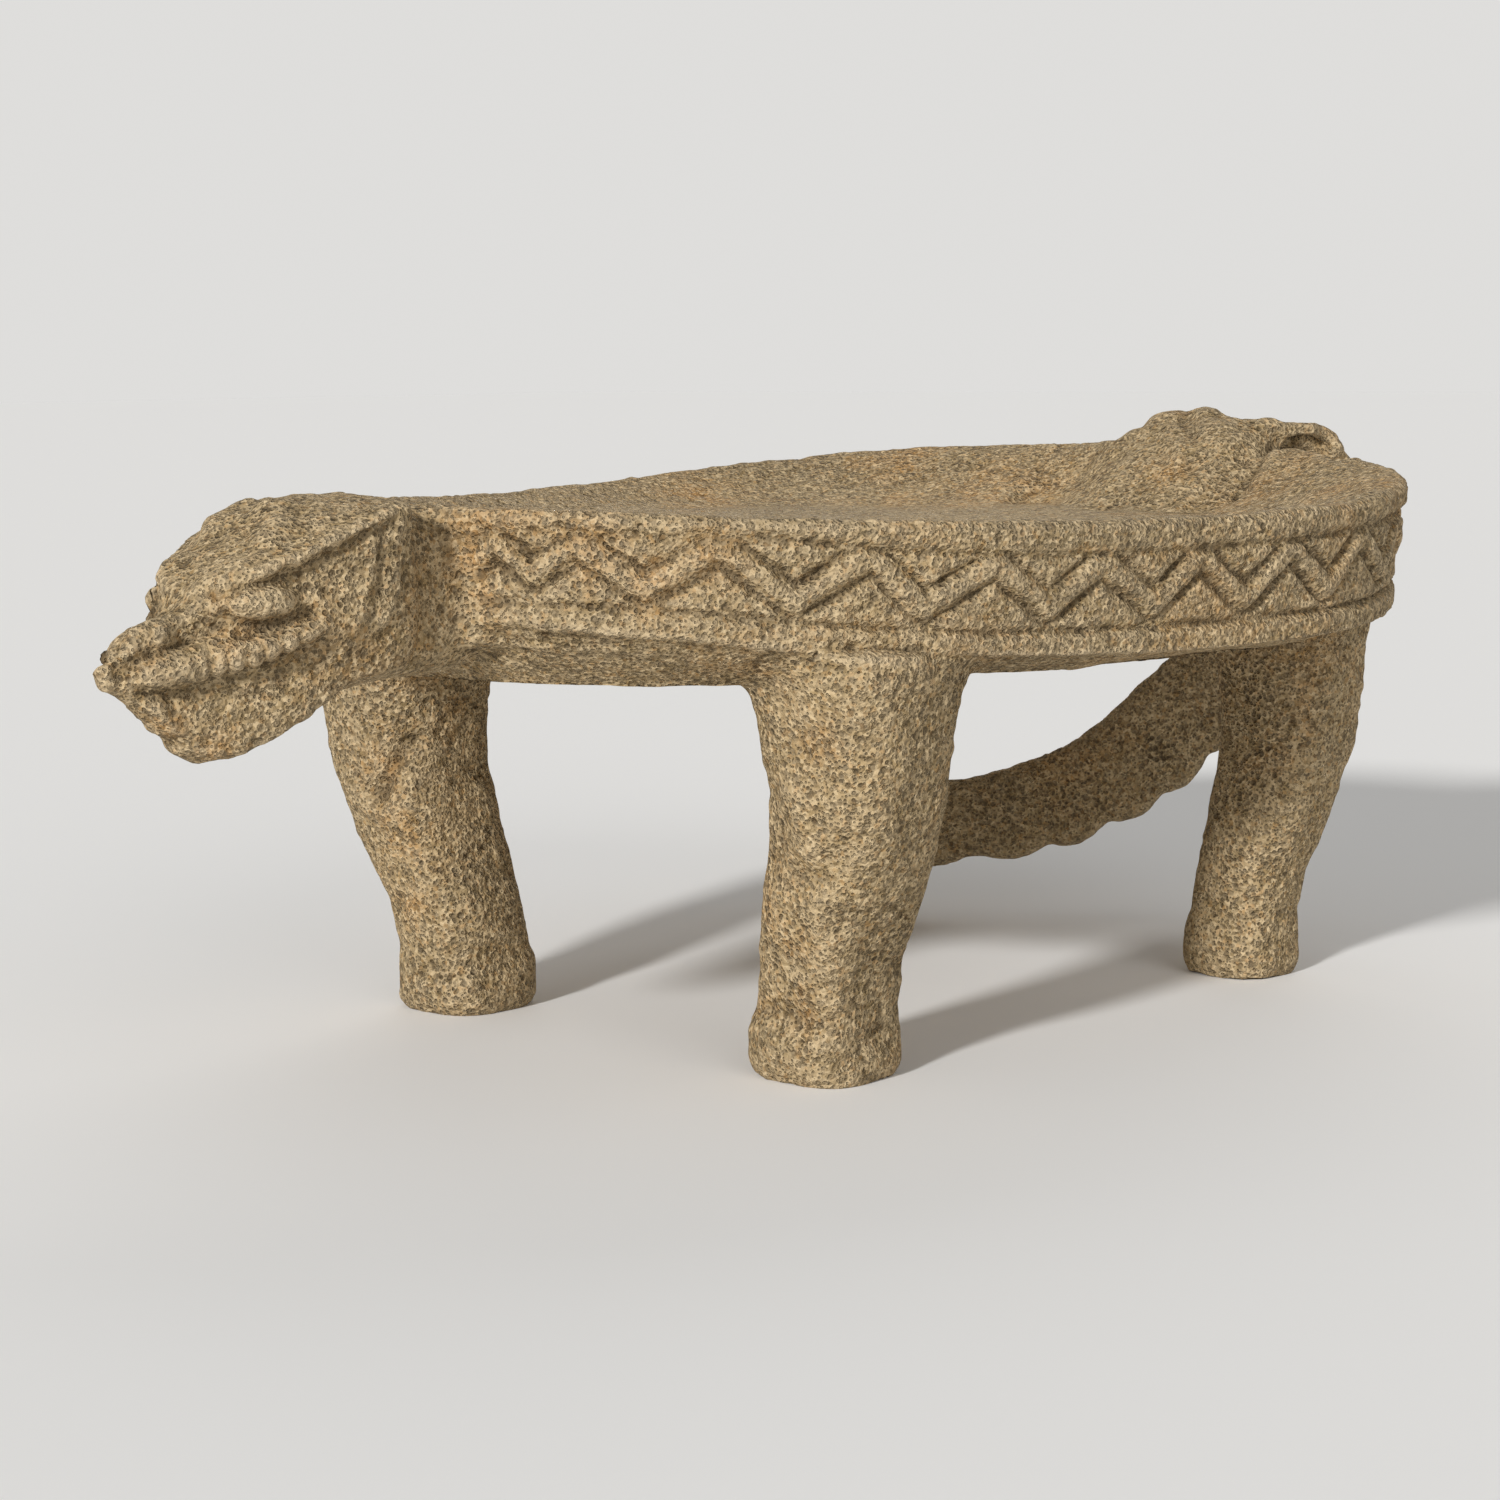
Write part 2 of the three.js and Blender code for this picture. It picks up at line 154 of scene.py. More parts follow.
# Sizes of the random tables, and shifts that keep the places in them above 0
NOISE_CELLS = 64
NOISE_SHIFT = 1000.0
PIT_CELLS = 32
PIT_SHIFT = 500.0
PIT_FLAT_SHARE = 0.3


# Number tools
def smooth_step(low, high, value):
    """Rises from 0 at `low` to 1 at `high`, which may be the smaller of the two."""
    share = np.clip((value - low) / (high - low), 0.0, 1.0)
    return share * share * (3 - 2 * share)


def hump(value, width):
    """1 at 0, fading to both sides over `width`."""
    return np.exp(-((value / width) ** 2))


def table_value(table, at):
    """The value at `at` between the pairs of place and value in a table."""
    places, values = zip(*table)
    return np.interp(at, places, values)


def root_share(points, ends):
    """How much each point belongs to the tail root, from 0 to 1."""
    along, right, left = ends
    x, y = points[:, 0], points[:, 1]
    return smooth_step(*along, x) * smooth_step(*right, y) * smooth_step(*left, y)


def neck_share(points, ends):
    """How much each point belongs to the neck, from 0 to 1."""
    along, across = ends
    return smooth_step(*along, points[:, 0]) * smooth_step(*across, np.abs(points[:, 1]))


def lattice_noise(points, size, seed):
    """Smooth noise from -1 to 1 that changes over `size` mm."""
    table = np.random.default_rng(seed).uniform(-1, 1, (NOISE_CELLS, NOISE_CELLS, NOISE_CELLS))
    at = points / size + NOISE_SHIFT
    cell = np.floor(at).astype(np.int64)
    share = at - cell
    share = share * share * (3 - 2 * share)
    total = np.zeros(len(points))
    for z, y, x in np.ndindex(2, 2, 2):
        step = np.array([x, y, z])
        weight = np.prod(np.where(step, share, 1 - share), axis=1)
        index = (cell + step) % NOISE_CELLS
        total += weight * table[index[:, 0], index[:, 1], index[:, 2]]
    return total


def pits(points, cell_size, radius_low, radius_high, seed):
    """Depth from 0 to 1 of round pits, one for each cell of `cell_size` mm, at random places and sizes."""
    random = np.random.default_rng(seed)
    places = random.uniform(0, 1, (PIT_CELLS, PIT_CELLS, PIT_CELLS, 3))
    radii = random.uniform(radius_low, radius_high, (PIT_CELLS, PIT_CELLS, PIT_CELLS))
    at = points / cell_size + PIT_SHIFT
    cell = np.floor(at).astype(np.int64)
    depth = np.zeros(len(points))
    for step in np.ndindex(3, 3, 3):
        near = cell + np.array(step) - 1
        index = near % PIT_CELLS
        middle = near + places[index[:, 0], index[:, 1], index[:, 2]]
        radius = radii[index[:, 0], index[:, 1], index[:, 2]]
        away = np.linalg.norm(at - middle, axis=1) * cell_size
        dent = smooth_step(radius, radius * PIT_FLAT_SHARE, away) * radius / radius_high
        depth = np.maximum(depth, dent)
    return depth


def distance_to_path(places, path):
    """Least distance from each place to a path of straight runs."""
    best = np.full(len(places), np.inf)
    for start, end in zip(path[:-1], path[1:]):
        run = end - start
        share = np.clip(((places - start) @ run) / max(run @ run, 1e-9), 0, 1)
        best = np.minimum(best, np.linalg.norm(places - start - share[:, None] * run, axis=1))
    return best


# Mesh tools on arrays
def read_points(mesh):
    points = np.zeros(len(mesh.vertices) * 3)
    mesh.vertices.foreach_get("co", points)
    return points.reshape(-1, 3) / MM


def write_points(mesh, points):
    mesh.vertices.foreach_set("co", (points * MM).ravel())
    mesh.update()


def read_edges(mesh):
    pairs = np.zeros(len(mesh.edges) * 2, np.int32)
    mesh.edges.foreach_get("vertices", pairs)
    return pairs.reshape(-1, 2)


def read_normals(mesh):
    normals = np.zeros(len(mesh.vertices) * 3)
    mesh.vertex_normals.foreach_get("vector", normals)
    return normals.reshape(-1, 3)


def read_faces(mesh):
    """Where each face starts among the corners, its number of corners, and the point of each corner."""
    starts = np.zeros(len(mesh.polygons), np.int32)
    sizes = np.zeros(len(mesh.polygons), np.int32)
    corners = np.zeros(len(mesh.loops), np.int32)
    mesh.polygons.foreach_get("loop_start", starts)
    mesh.polygons.foreach_get("loop_total", sizes)
    mesh.loops.foreach_get("vertex_index", corners)
    return starts, sizes, corners


def neighbour_mean(values, edges):
    count = np.maximum(np.bincount(edges.ravel(), minlength=len(values)), 1)
    total = np.empty_like(values)
    for axis in range(values.shape[1]):
        total[:, axis] = np.bincount(edges[:, 0], values[edges[:, 1], axis], len(values))
        total[:, axis] += np.bincount(edges[:, 1], values[edges[:, 0], axis], len(values))
    return total / count[:, None]


def relax(points, edges, weight, rounds):
    """Moves each point toward the middle of its neighbours, by a weight per point."""
    for _ in range(rounds):
        points = points + (neighbour_mean(points, edges) - points) * weight[:, None]
    return points


# One skin round all the solids
def stone_skin():
    parts = bmesh.new()
    for name in sorted(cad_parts):
        copy = bmesh.new()
        copy.from_mesh(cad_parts[name].data)
        bmesh.ops.remove_doubles(copy, verts=copy.verts, dist=SAME_PLACE * MM)
        copy.normal_update()
        places = [vert.co + vert.normal * GROWTH * MM for vert in copy.verts]
        for vert, place in zip(copy.verts, places):
            vert.co = place
        held = bpy.data.meshes.new("held")
        copy.to_mesh(held)
        copy.free()
        parts.from_mesh(held)
        bpy.data.meshes.remove(held)
    mesh = bpy.data.meshes.new("stone")
    parts.to_mesh(mesh)
    parts.free()
    stone = bpy.data.objects.new("stone", mesh)
    scene.collection.objects.link(stone)
    remesh = stone.modifiers.new("remesh", "REMESH")
    remesh.mode = "VOXEL"
    remesh.voxel_size = VOXEL * MM
    fine = bpy.data.meshes.new_from_object(stone.evaluated_get(bpy.context.evaluated_depsgraph_get()))
    bpy.data.objects.remove(stone)
    bpy.data.meshes.remove(mesh)
    return fine


def joint_planes():
    """Each joint's plane, as a point and a normal, and a test for the faces that it may cut."""
    up, along = Vector((0, 0, 1)), Vector((1, 0, 0))
    tail_side = Vector((TAIL_AWAY[0], TAIL_AWAY[1], 0))
    hold = REAR_RIGHT_LEG + TAIL_AWAY * TAIL_HOLD

    def at_head_end(middle):
        return middle.x < 0

    def at_rear_wall(middle):
        return middle.z > REAR_WALL_BOTTOM * MM

    def under_plate(middle):
        return middle.x > LEGS_FRONT * MM

    def at_tail_end(middle):
        return middle.z < LEG_JOINT * MM and middle.x > TAIL_FRONT * MM and middle.y > TAIL_SIDE * MM

    return [
        (Vector((COLLAR_FRONT, 0, 0)), along, at_head_end),
        (Vector((JOINT_NECK, 0, 0)), along, at_head_end),
        (Vector((JOINT_TAIL, 0, 0)), along, at_rear_wall),
        (Vector((0, 0, LEG_JOINT)), up, under_plate),
        (Vector((hold[0], hold[1], 0)), tail_side, at_tail_end),
    ]


def cut_skin(mesh):
    """Cuts the skin along the joints, so that each later piece ends in a clean edge."""
    whole = bmesh.new()
    whole.from_mesh(mesh)
    for place, normal, may_cut in joint_planes():
        place = place * MM
        near = []
        for face in whole.faces:
            middle = face.calc_center_median()
            if abs((middle - place).dot(normal)) < CUT_REACH * MM and may_cut(middle):
                near.append(face)
        geometry = near + list({edge for face in near for edge in face.edges})
        geometry += list({vert for face in near for vert in face.verts})
        bmesh.ops.bisect_plane(whole, geom=geometry, dist=CUT_SNAP * MM, plane_co=place, plane_no=normal)
    whole.to_mesh(mesh)
    whole.free()
    mesh.update()
    return mesh


def face_owners(points, starts, sizes, corners):
    """The name of the piece that each face of the skin belongs to."""
    middles = np.add.reduceat(points[corners], starts, axis=0) / sizes[:, None]
    x, y, z = middles.T
    name = np.full(len(middles), "grinding_plate", dtype="<U16")
    leg = z < LEG_JOINT
    for end, front in (("front", True), ("rear", False)):
        for side, left in (("left", True), ("right", False)):
            name[leg & ((x < PLATE_MIDDLE) == front) & ((y < 0) == left)] = f"leg_{end}_{side}"
    away = (middles[:, :2] - REAR_RIGHT_LEG) @ TAIL_AWAY
    past_leg = (away > TAIL_HOLD) & ((y > TAIL_SIDE) | (x > TAIL_BACK))
    name[leg & (x > PLATE_MIDDLE) & past_leg] = "tail"
    name[x > JOINT_TAIL] = "tail"
    name[x < JOINT_NECK] = "neck"
    name[x < COLLAR_FRONT] = "head"
    return name


# The plate's egg-shaped outline, as in the solids: limits and halvings of the search for a point's inset,
# and the steps of the table of distances
INSET_LEAST = -30.0
INSET_MOST_AT_WALL = 120.0
INSET_MOST_IN_BOWL = 215.0
INSET_HALVINGS = 20
SPREAD_LEAST = 0.2
OUTLINE_STEPS = 2001


def outline_turns(points, inset_most):
    """How far in from the outline each point lies, seen from above, and its place along the outline."""
    x, y = points[:, 0] - PLATE_MIDDLE, points[:, 1]
    low = np.full(len(x), INSET_LEAST)
    high = np.full(len(x), inset_most)
    for _ in range(INSET_HALVINGS):
        inset = (low + high) / 2
        long_way, wide_way = HALF_LENGTH - inset, HALF_WIDTH - inset
        along = x / long_way
        across = y / (wide_way * np.maximum(1 + WIDENING * along, SPREAD_LEAST))
        outside = np.abs(along) ** SQUARENESS + np.abs(across) ** SQUARENESS > 1
        high = np.where(outside, inset, high)
        low = np.where(outside, low, inset)
    return inset, along, across


def outline_place(along, across, inset):
    """The point on the loop at `inset` with the same place along the outline."""
    x = PLATE_MIDDLE + (HALF_LENGTH - inset) * along
    y = (HALF_WIDTH - inset) * across * (1 + WIDENING * along)
    return x, y


def outline_table():
    """Distance along the outline from the head end, for steps round one side."""
    turn = np.linspace(0, math.pi, OUTLINE_STEPS)
    c, s = -np.cos(turn), np.sin(turn)
    along = np.sign(c) * np.abs(c) ** (2 / SQUARENESS)
    across = np.abs(s) ** (2 / SQUARENESS)
    x, y = outline_place(along, across, 0)
    return turn, np.concatenate([[0], np.cumsum(np.hypot(np.diff(x), np.diff(y)))])


OUTLINE_TURN, OUTLINE_RUN = outline_table()


def outline_run(along, across):
    power = SQUARENESS / 2
    turn = np.arctan2(np.abs(across) ** power, -np.sign(along) * np.abs(along) ** power)
    return np.interp(turn, OUTLINE_TURN, OUTLINE_RUN)


def rim_height(along):
    """The rim rises from its middle toward the head and, higher, toward the tail."""
    return RIM_MIDDLE + (np.where(along < 0, RIM_FRONT, RIM_REAR) - RIM_MIDDLE) * along ** 2


# Carved band: places as (run along the outline, depth below the rim)
UPPER_GROOVE = [(0, 9.5), (60, 9.3), (180, 8.5), (227, 12.2), (290, 14), (400, 13.5), (809, 13)]
LOWER_GROOVE = [
    (0, 37.5), (92, 37.4), (151, 38.6), (203, 42.5), (263, 44.8), (430, 45.3), (506, 47), (809, 46),
]
LOWER_LEDGE = [(0, 46), (92, 47), (168, 51.5), (300, 55), (430, 57), (809, 57)]
ZIGZAG_START = [
    (24, 15), (44, 24), (60, 15), (75, 26), (96, 14), (122, 30), (153, 12.5), (183, 33.5), (215, 14),
    (238, 35), (271, 17), (298, 36),
]
ZIGZAG_PEAK = 16.5
ZIGZAG_VALLEY = 36.0
ZIGZAG_STEP = 56.8
ZIGZAG_END = 811.0
ZIGZAG_SLIDE = 2
ZIGZAG_RISE = 1
ZIGZAG_SEED = 11
RECESSES = [(70.7, 17.0), (123.8, 21.0), (147.0, 26.0), (186.0, 23.5)]

# How deep and how wide the band is cut. Its depths wander along it, over `WANDER_SIZE` mm.
WANDER_SIZE = 14
WANDER_SEED = 21
GROOVE_WIDTH = 2.2
UPPER_CUT, UPPER_WANDER = 2.6, 0.7
LOWER_CUT, LOWER_WANDER = 3.2, 0.6
SHALLOW_RUN = (560, 720)
SHALLOW_SHARE = 0.4
RIBBON_EDGE, EDGE_WANDER = 5.8, 0.5
RIBBON_SINK, SINK_WANDER = 3.6, 0.8
RIBBON_GROOVE = 2.1
FIELD_SINK = 1.1
FIELD_EDGE = (RIBBON_EDGE - 1, RIBBON_EDGE + 2)
RECESS_SINK, RECESS_WIDTH = 1.6, 6.5
RECESS_EDGE = (2, 5)
BAND_EDGE = (-1.0, 2.0)

# The wall and the bevel below it
LIP_ROUND, LIP_DEPTH = 3.0, 4.0
LEDGE_STEP, LEDGE_SHARE = 3.0, 0.12
BEVEL_CURVE = 1.2

# Where the side is carved, with pairs of places that lead from no carving to full carving
BELOW_UNDERSIDE = 1
BEFORE_NECK_JOINT = 6
BEHIND_TAIL_JOINT = 4
PAST_RIM = (0.2, 2.0)
FROM_OUTSIDE = (-8, -3)
WALL_REACH = (16, 9)
BEVEL_REACH = (16, 8)
LEG_TOP_AT_WALL = (46, 58)
PAST_LEDGE = (-1, 2)
ROOT_DEPTH = (20, 12)


def zigzag():
    points = list(ZIGZAG_START)
    wander = np.random.default_rng(ZIGZAG_SEED)
    at = points[-1][0]
    while at + ZIGZAG_STEP <= ZIGZAG_END:
        middle = at + ZIGZAG_STEP / 2 + wander.uniform(-ZIGZAG_SLIDE, ZIGZAG_SLIDE)
        points.append((middle, ZIGZAG_PEAK + wander.uniform(-ZIGZAG_RISE, ZIGZAG_RISE)))
        at += ZIGZAG_STEP
        points.append((at, ZIGZAG_VALLEY + wander.uniform(-ZIGZAG_RISE, ZIGZAG_RISE)))
    return np.array(points, float)


def band_relief(run, depth, wander):
    """How deep the carving cuts into the plate's side."""
    from_upper = depth - table_value(UPPER_GROOVE, run)
    from_lower = depth - table_value(LOWER_GROOVE, run)
    shallow = 1 - SHALLOW_SHARE * smooth_step(*SHALLOW_RUN, run)
    cut = (UPPER_CUT + UPPER_WANDER * wander) * shallow * hump(from_upper, GROOVE_WIDTH)
    cut += (LOWER_CUT + LOWER_WANDER * wander) * hump(from_lower, GROOVE_WIDTH)
    places = np.stack([run, depth], 1)
    away = distance_to_path(places, zigzag()) + EDGE_WANDER * wander
    inside = smooth_step(*BAND_EDGE, from_upper) * smooth_step(*BAND_EDGE, -from_lower)
    ribbon = (RIBBON_SINK + SINK_WANDER * wander) * hump(away - RIBBON_EDGE, RIBBON_GROOVE)
    ribbon += FIELD_SINK * smooth_step(*FIELD_EDGE, away)
    for middle in RECESSES:
        round_middle = hump(np.linalg.norm(places - middle, axis=1), RECESS_WIDTH)
        ribbon += RECESS_SINK * round_middle * smooth_step(*RECESS_EDGE, away)
    return np.maximum(cut, ribbon * inside)


def leg_closeness(points, near, far):
    """1 within `near` of a leg's top, 0 from `far` outward."""
    close = np.zeros(len(points))
    for centre in LEG_CENTRES:
        away = np.hypot(points[:, 0] - centre[0], points[:, 1] - centre[1])
        close = np.maximum(close, smooth_step(far, near, away))
    return close


def wall_target(run, depth, ledge, bottom, wander):
    """How far in from the outline the wall and the bevel stand."""
    wall = WALL_DRAFT * depth / LOWER_EDGE + band_relief(run, depth, wander)
    wall += LIP_ROUND * smooth_step(LIP_DEPTH, 0.0, depth) ** 2
    under = np.clip((depth - ledge) / np.maximum(bottom - ledge, 1), 0, 1)
    bevel = WALL_DRAFT + LEDGE_STEP * smooth_step(0, LEDGE_SHARE, under)
    bevel += (UNDERSIDE_INSET - WALL_DRAFT - LEDGE_STEP) * under ** BEVEL_CURVE
    return wall, bevel


def carve_side(points):
    """Brings the plate's side and bevel to their carved shape."""
    x, y, z = points.T
    beside = (x > JOINT_NECK - BEFORE_NECK_JOINT) & (x < JOINT_TAIL + BEHIND_TAIL_JOINT)
    index = np.where(beside & (z > UNDERSIDE - BELOW_UNDERSIDE))[0]
    place = points[index]
    inset, along, across = outline_turns(place, INSET_MOST_AT_WALL)
    run = outline_run(along, across)
    rim = rim_height(along)
    depth = rim - place[:, 2]
    ledge = table_value(LOWER_LEDGE, run)
    wander = lattice_noise(place, WANDER_SIZE, WANDER_SEED)
    wall, bevel = wall_target(run, depth, ledge, rim - UNDERSIDE, wander)
    lower = depth > ledge
    target = np.where(lower, bevel, wall)

    weight = smooth_step(*PAST_RIM, depth) * smooth_step(*FROM_OUTSIDE, inset)
    near_bevel = smooth_step(*BEVEL_REACH, np.abs(inset - bevel))
    weight *= np.where(lower, near_bevel, smooth_step(*WALL_REACH, inset))
    weight *= 1 - neck_share(place, NECK_AT_WALL)
    weight *= 1 - leg_closeness(place, *LEG_TOP_AT_WALL) * smooth_step(*PAST_LEDGE, depth - ledge)
    weight *= 1 - root_share(place, ROOT_AT_WALL) * smooth_step(*ROOT_DEPTH, depth)
    x, y = outline_place(along, across, target)
    points[index, 0] += (x - place[:, 0]) * weight
    points[index, 1] += (y - place[:, 1]) * weight
    return points


# The grinding face: how far it faces up, where its sweep starts behind the lip, how much longer the sweep is
# than the solids' slope, how it bends, and where it takes over from the lip
UP_LEAST = 0.25
BELOW_FLOOR = 3
ABOVE_RIM = 2
BEHIND_NECK_JOINT = 2
SWEEP_START = 8
SWEEP_LENGTH = 1.5
SWEEP_BEND = 0.8
PAST_LIP = (1.5, 4)


def shape_bowl(points, normals):
    """Rounds the lip and hollows the grinding face in one smooth sweep."""
    x, y, z = points.T
    facing = (normals[:, 2] > UP_LEAST) & (z > BOWL_FLOOR - BELOW_FLOOR) & (z < RIM_REAR + ABOVE_RIM)
    index = np.where(facing & (x > JOINT_NECK + BEHIND_NECK_JOINT) & (x < JOINT_TAIL))[0]
    place = points[index]
    inset, along, across = outline_turns(place, INSET_MOST_IN_BOWL)
    rim = rim_height(along)
    foot = (RIM_WIDTH + (rim - BOWL_FLOOR) * BOWL_RUN) * SWEEP_LENGTH
    share = np.clip((inset - SWEEP_START) / (foot - SWEEP_START), 0, 1)
    height = BOWL_FLOOR + (rim - BOWL_FLOOR) * (1 - smooth_step(0, 1, share ** SWEEP_BEND))
    weight = (1 - root_share(place, ROOT_IN_BOWL)) * (1 - neck_share(place, NECK_IN_BOWL))
    points[index, 2] += (height - place[:, 2]) * (weight * smooth_step(*PAST_LIP, inset))
    return points


# Fillets: the places between which each one fades in, and its strength
LEG_FILLET_REACH = (50, 68)
LEG_FILLET_MIDDLE = UNDERSIDE + 2
LEG_FILLET_HEIGHT = (30, 14)
JOINT_FILLET_REACH = (9, 4)
NECK_FILLET = 0.5
NECK_FILLET_MIDDLE = JOINT_NECK + 1
NECK_FILLET_SIDE = (70, 54)
COLLAR_FILLET = 0.4
COLLAR_FILLET_TOP = (252, 244)
ROOT_FILLET_STRENGTH = 0.8
ROOT_FILLET_FOOT = (222, 228)
TAIL_FILLET = 0.7
TAIL_FILLET_MIDDLE = REAR_RIGHT_LEG + np.array([20, -24])
TAIL_FILLET_REACH = (56, 44)
TAIL_FILLET_TOP = 120


def fillet_weight(points):
    """Where legs, neck, collar and tail flow into the plate and into each other."""
    x, y, z = points.T
    legs = leg_closeness(points, *LEG_FILLET_REACH)
    legs *= smooth_step(*LEG_FILLET_HEIGHT, np.abs(z - LEG_FILLET_MIDDLE))
    neck = NECK_FILLET * smooth_step(*JOINT_FILLET_REACH, np.abs(x - NECK_FILLET_MIDDLE))
    neck *= smooth_step(*NECK_FILLET_SIDE, np.abs(y))
    collar = COLLAR_FILLET * smooth_step(*JOINT_FILLET_REACH, np.abs(x - COLLAR_FRONT))
    collar *= smooth_step(*COLLAR_FILLET_TOP, z)
    root = ROOT_FILLET_STRENGTH * root_share(points, ROOT_FILLET) * smooth_step(*ROOT_FILLET_FOOT, z)
    from_leg = np.hypot(x - TAIL_FILLET_MIDDLE[0], y - TAIL_FILLET_MIDDLE[1])
    low_tail = TAIL_FILLET * smooth_step(*TAIL_FILLET_REACH, from_leg) * (z < TAIL_FILLET_TOP)
    return np.maximum.reduce([legs, neck, collar, root, low_tail])


# Features of the carving, marked on the photograph as (right, down) in its 1500 pixels.
# Each stroke has its marks, its reach to either side and its height in mm (below 0 it is cut in),
# and whether the other side of the object has it too.
BROW = [
    # its raised front end, its edge and the hollow under it
    ([(216, 532), (228, 525), (246, 517), (266, 509)], 7.0, 2.6, True),
    ([(216, 526), (228, 518), (246, 509)], 6.5, 4.0, False),
    (
        [(396, 500), (385, 512), (366, 524), (334, 540), (320, 548), (296, 561), (270, 569), (248, 576)],
        3.0, 1.1, True,
    ),
    (
        [(385, 529), (360, 541), (334, 556), (300, 572), (268, 580), (240, 585), (222, 594)],
        3.0, -2.0, True,
    ),
]
EYE = [
    # the ball, its front corner, the trimmed knob of the far eye, the hollow below and the front of the brow
    ([(246, 604), (262, 601), (282, 598)], 6.5, 2.6, True),
    ([(214, 594), (219, 604), (225, 612)], 3.0, -2.6, True),
    ([(156, 594), (158, 602), (160, 608)], 6.0, -3.2, False),
    ([(228, 616), (245, 624), (262, 626), (285, 622), (306, 611)], 3.0, -2.4, True),
    ([(172, 566), (165, 577), (161, 590)], 6.0, 2.4, True),
]
NOSE = [
    # nostril ball, lip ball, the notch between them and the groove from the nose to the eye
    ([(126, 652), (131, 656)], 5.0, 1.2, True),
    ([(106, 684), (110, 690)], 4.0, 1.8, True),
    ([(108, 660), (118, 664), (129, 668)], 2.6, -2.6, True),
    ([(136, 660), (150, 656), (172, 648), (190, 640), (210, 632), (222, 622)], 2.4, -2.6, True),
    ([(236, 636), (262, 634), (290, 628), (312, 619)], 4.0, -1.6, True),
]
LIPS = [
    # upper lip, the mouth under it and the jaw drawn in
    ([(150, 678), (180, 670), (215, 662), (250, 654), (285, 645), (312, 636)], 6.6, 3.0, True),
    ([(146, 696), (175, 694), (205, 688), (240, 678), (265, 670), (292, 658), (320, 643)], 4.2, -3.2, True),
    ([(186, 706), (215, 706), (250, 699), (280, 688), (306, 671)], 9.0, -3.0, True),
]
TEETH = [
    # notches across the lip, then gaps under it
    ([(212, 660), (210, 677)], 1.7, -2.4, True),
    ([(228, 658), (227, 675)], 1.7, -2.6, True),
    ([(246, 653), (246, 670)], 1.7, -2.5, True),
    ([(264, 649), (265, 665)], 1.7, -2.5, True),
    ([(281, 642), (283, 657)], 1.7, -2.3, True),
    ([(300, 635), (303, 648)], 1.7, -2.0, True),
    ([(236, 690), (239, 698)], 2.8, -1.8, True),
    ([(258, 684), (262, 693)], 2.8, -2.2, True),
    ([(280, 677), (284, 686)], 2.6, -1.8, True),
]
NOSTRIL = [
    # the hole, the groove behind the nostril ball and the one behind the lip ball
    ([(141, 635), (142, 636)], 2.2, -1.6, True),
    ([(151, 627), (152, 636), (148, 647)], 2.2, -2.0, True),
    ([(117, 675), (120, 684), (122, 694)], 2.0, -1.8, True),
]
CHIN = [
    # lower teeth, the line under them and the crease of the chin
    ([(152, 704), (154, 708)], 2.6, 1.4, True),
    ([(162, 716), (164, 720)], 2.6, 1.4, True),
    ([(176, 727), (178, 731)], 2.6, 1.3, True),
    ([(160, 698), (176, 702), (200, 702), (228, 696)], 2.4, -1.1, True),
    ([(166, 744), (182, 742), (204, 744)], 2.8, -1.6, True),
]
COLLAR = [
    # two ridges and the hollow between them
    ([(399, 503), (401, 530), (400, 562), (396, 590), (388, 618)], 3.0, 1.1, True),
    ([(374, 540), (372, 575), (364, 607), (355, 628), (350, 645)], 3.4, 1.1, True),
    ([(387, 520), (386, 560), (379, 600), (370, 628)], 3.4, -0.5, True),
]
LEFT_LEG = [
    # crease and bulge of the knee, the ankle's line and the toes
    ([(412, 740), (404, 751), (394, 765), (386, 780), (377, 794)], 5.0, -5.0, False),
    ([(352, 790), (366, 808), (388, 814), (406, 804)], 7.0, 2.0, False),
    ([(399, 960), (425, 968), (455, 972), (480, 962), (500, 948)], 5.0, -2.0, False),
    ([(487, 980), (503, 968), (518, 955)], 5.5, -2.4, False),
    ([(424, 990), (450, 994), (470, 990)], 7.0, 1.4, False),
]
MIDDLE_LEG = [
    # hollow, bulge and crease of the knee, the shin's ridge and the hollow behind it, toes and top crease
    ([(768, 792), (772, 826), (770, 862)], 10.0, -4.0, False),
    ([(796, 796), (803, 828), (808, 852)], 9.0, 2.6, False),
    ([(800, 878), (818, 876), (834, 864), (850, 842)], 6.5, -2.8, False),
    ([(818, 906), (828, 940), (833, 985), (828, 1026)], 8.0, 2.4, False),
    ([(862, 896), (870, 950), (866, 1004)], 13.0, -2.0, False),
    ([(766, 1008), (790, 1018), (820, 1026)], 5.0, -1.8, False),
    ([(780, 1052), (806, 1056), (826, 1054)], 8.0, 1.6, False),
    ([(842, 1060), (864, 1048), (886, 1032)], 6.0, -2.6, False),
    ([(788, 660), (830, 668), (887, 674)], 3.0, -1.4, False),
]
TAIL_ROOT = [
    # the crease beside the rear wall, the folds and lumps of the mound, and the hollow under the arch
    ([(1236, 494), (1246, 476), (1256, 460), (1272, 446), (1284, 440)], 5.5, -4.4, False),
    ([(1183, 416), (1186, 424), (1192, 440)], 4.5, -2.0, False),
    ([(1120, 452), (1132, 444), (1144, 437), (1155, 431)], 8.0, -2.0, False),
    ([(1150, 440), (1160, 452), (1166, 466)], 5.0, -1.8, False),
    ([(1204, 414), (1212, 426), (1222, 442)], 9.0, 2.2, False),
    ([(1168, 426), (1176, 438), (1186, 456)], 8.0, 1.5, False),
    ([(1250, 430), (1270, 430), (1290, 431)], 7.0, -1.2, False),
    ([(1290, 446), (1306, 444), (1324, 448), (1342, 457)], 5.0, -6.4, False),
    ([(1104, 508), (1128, 500), (1152, 508)], 5.0, -1.4, False),
]
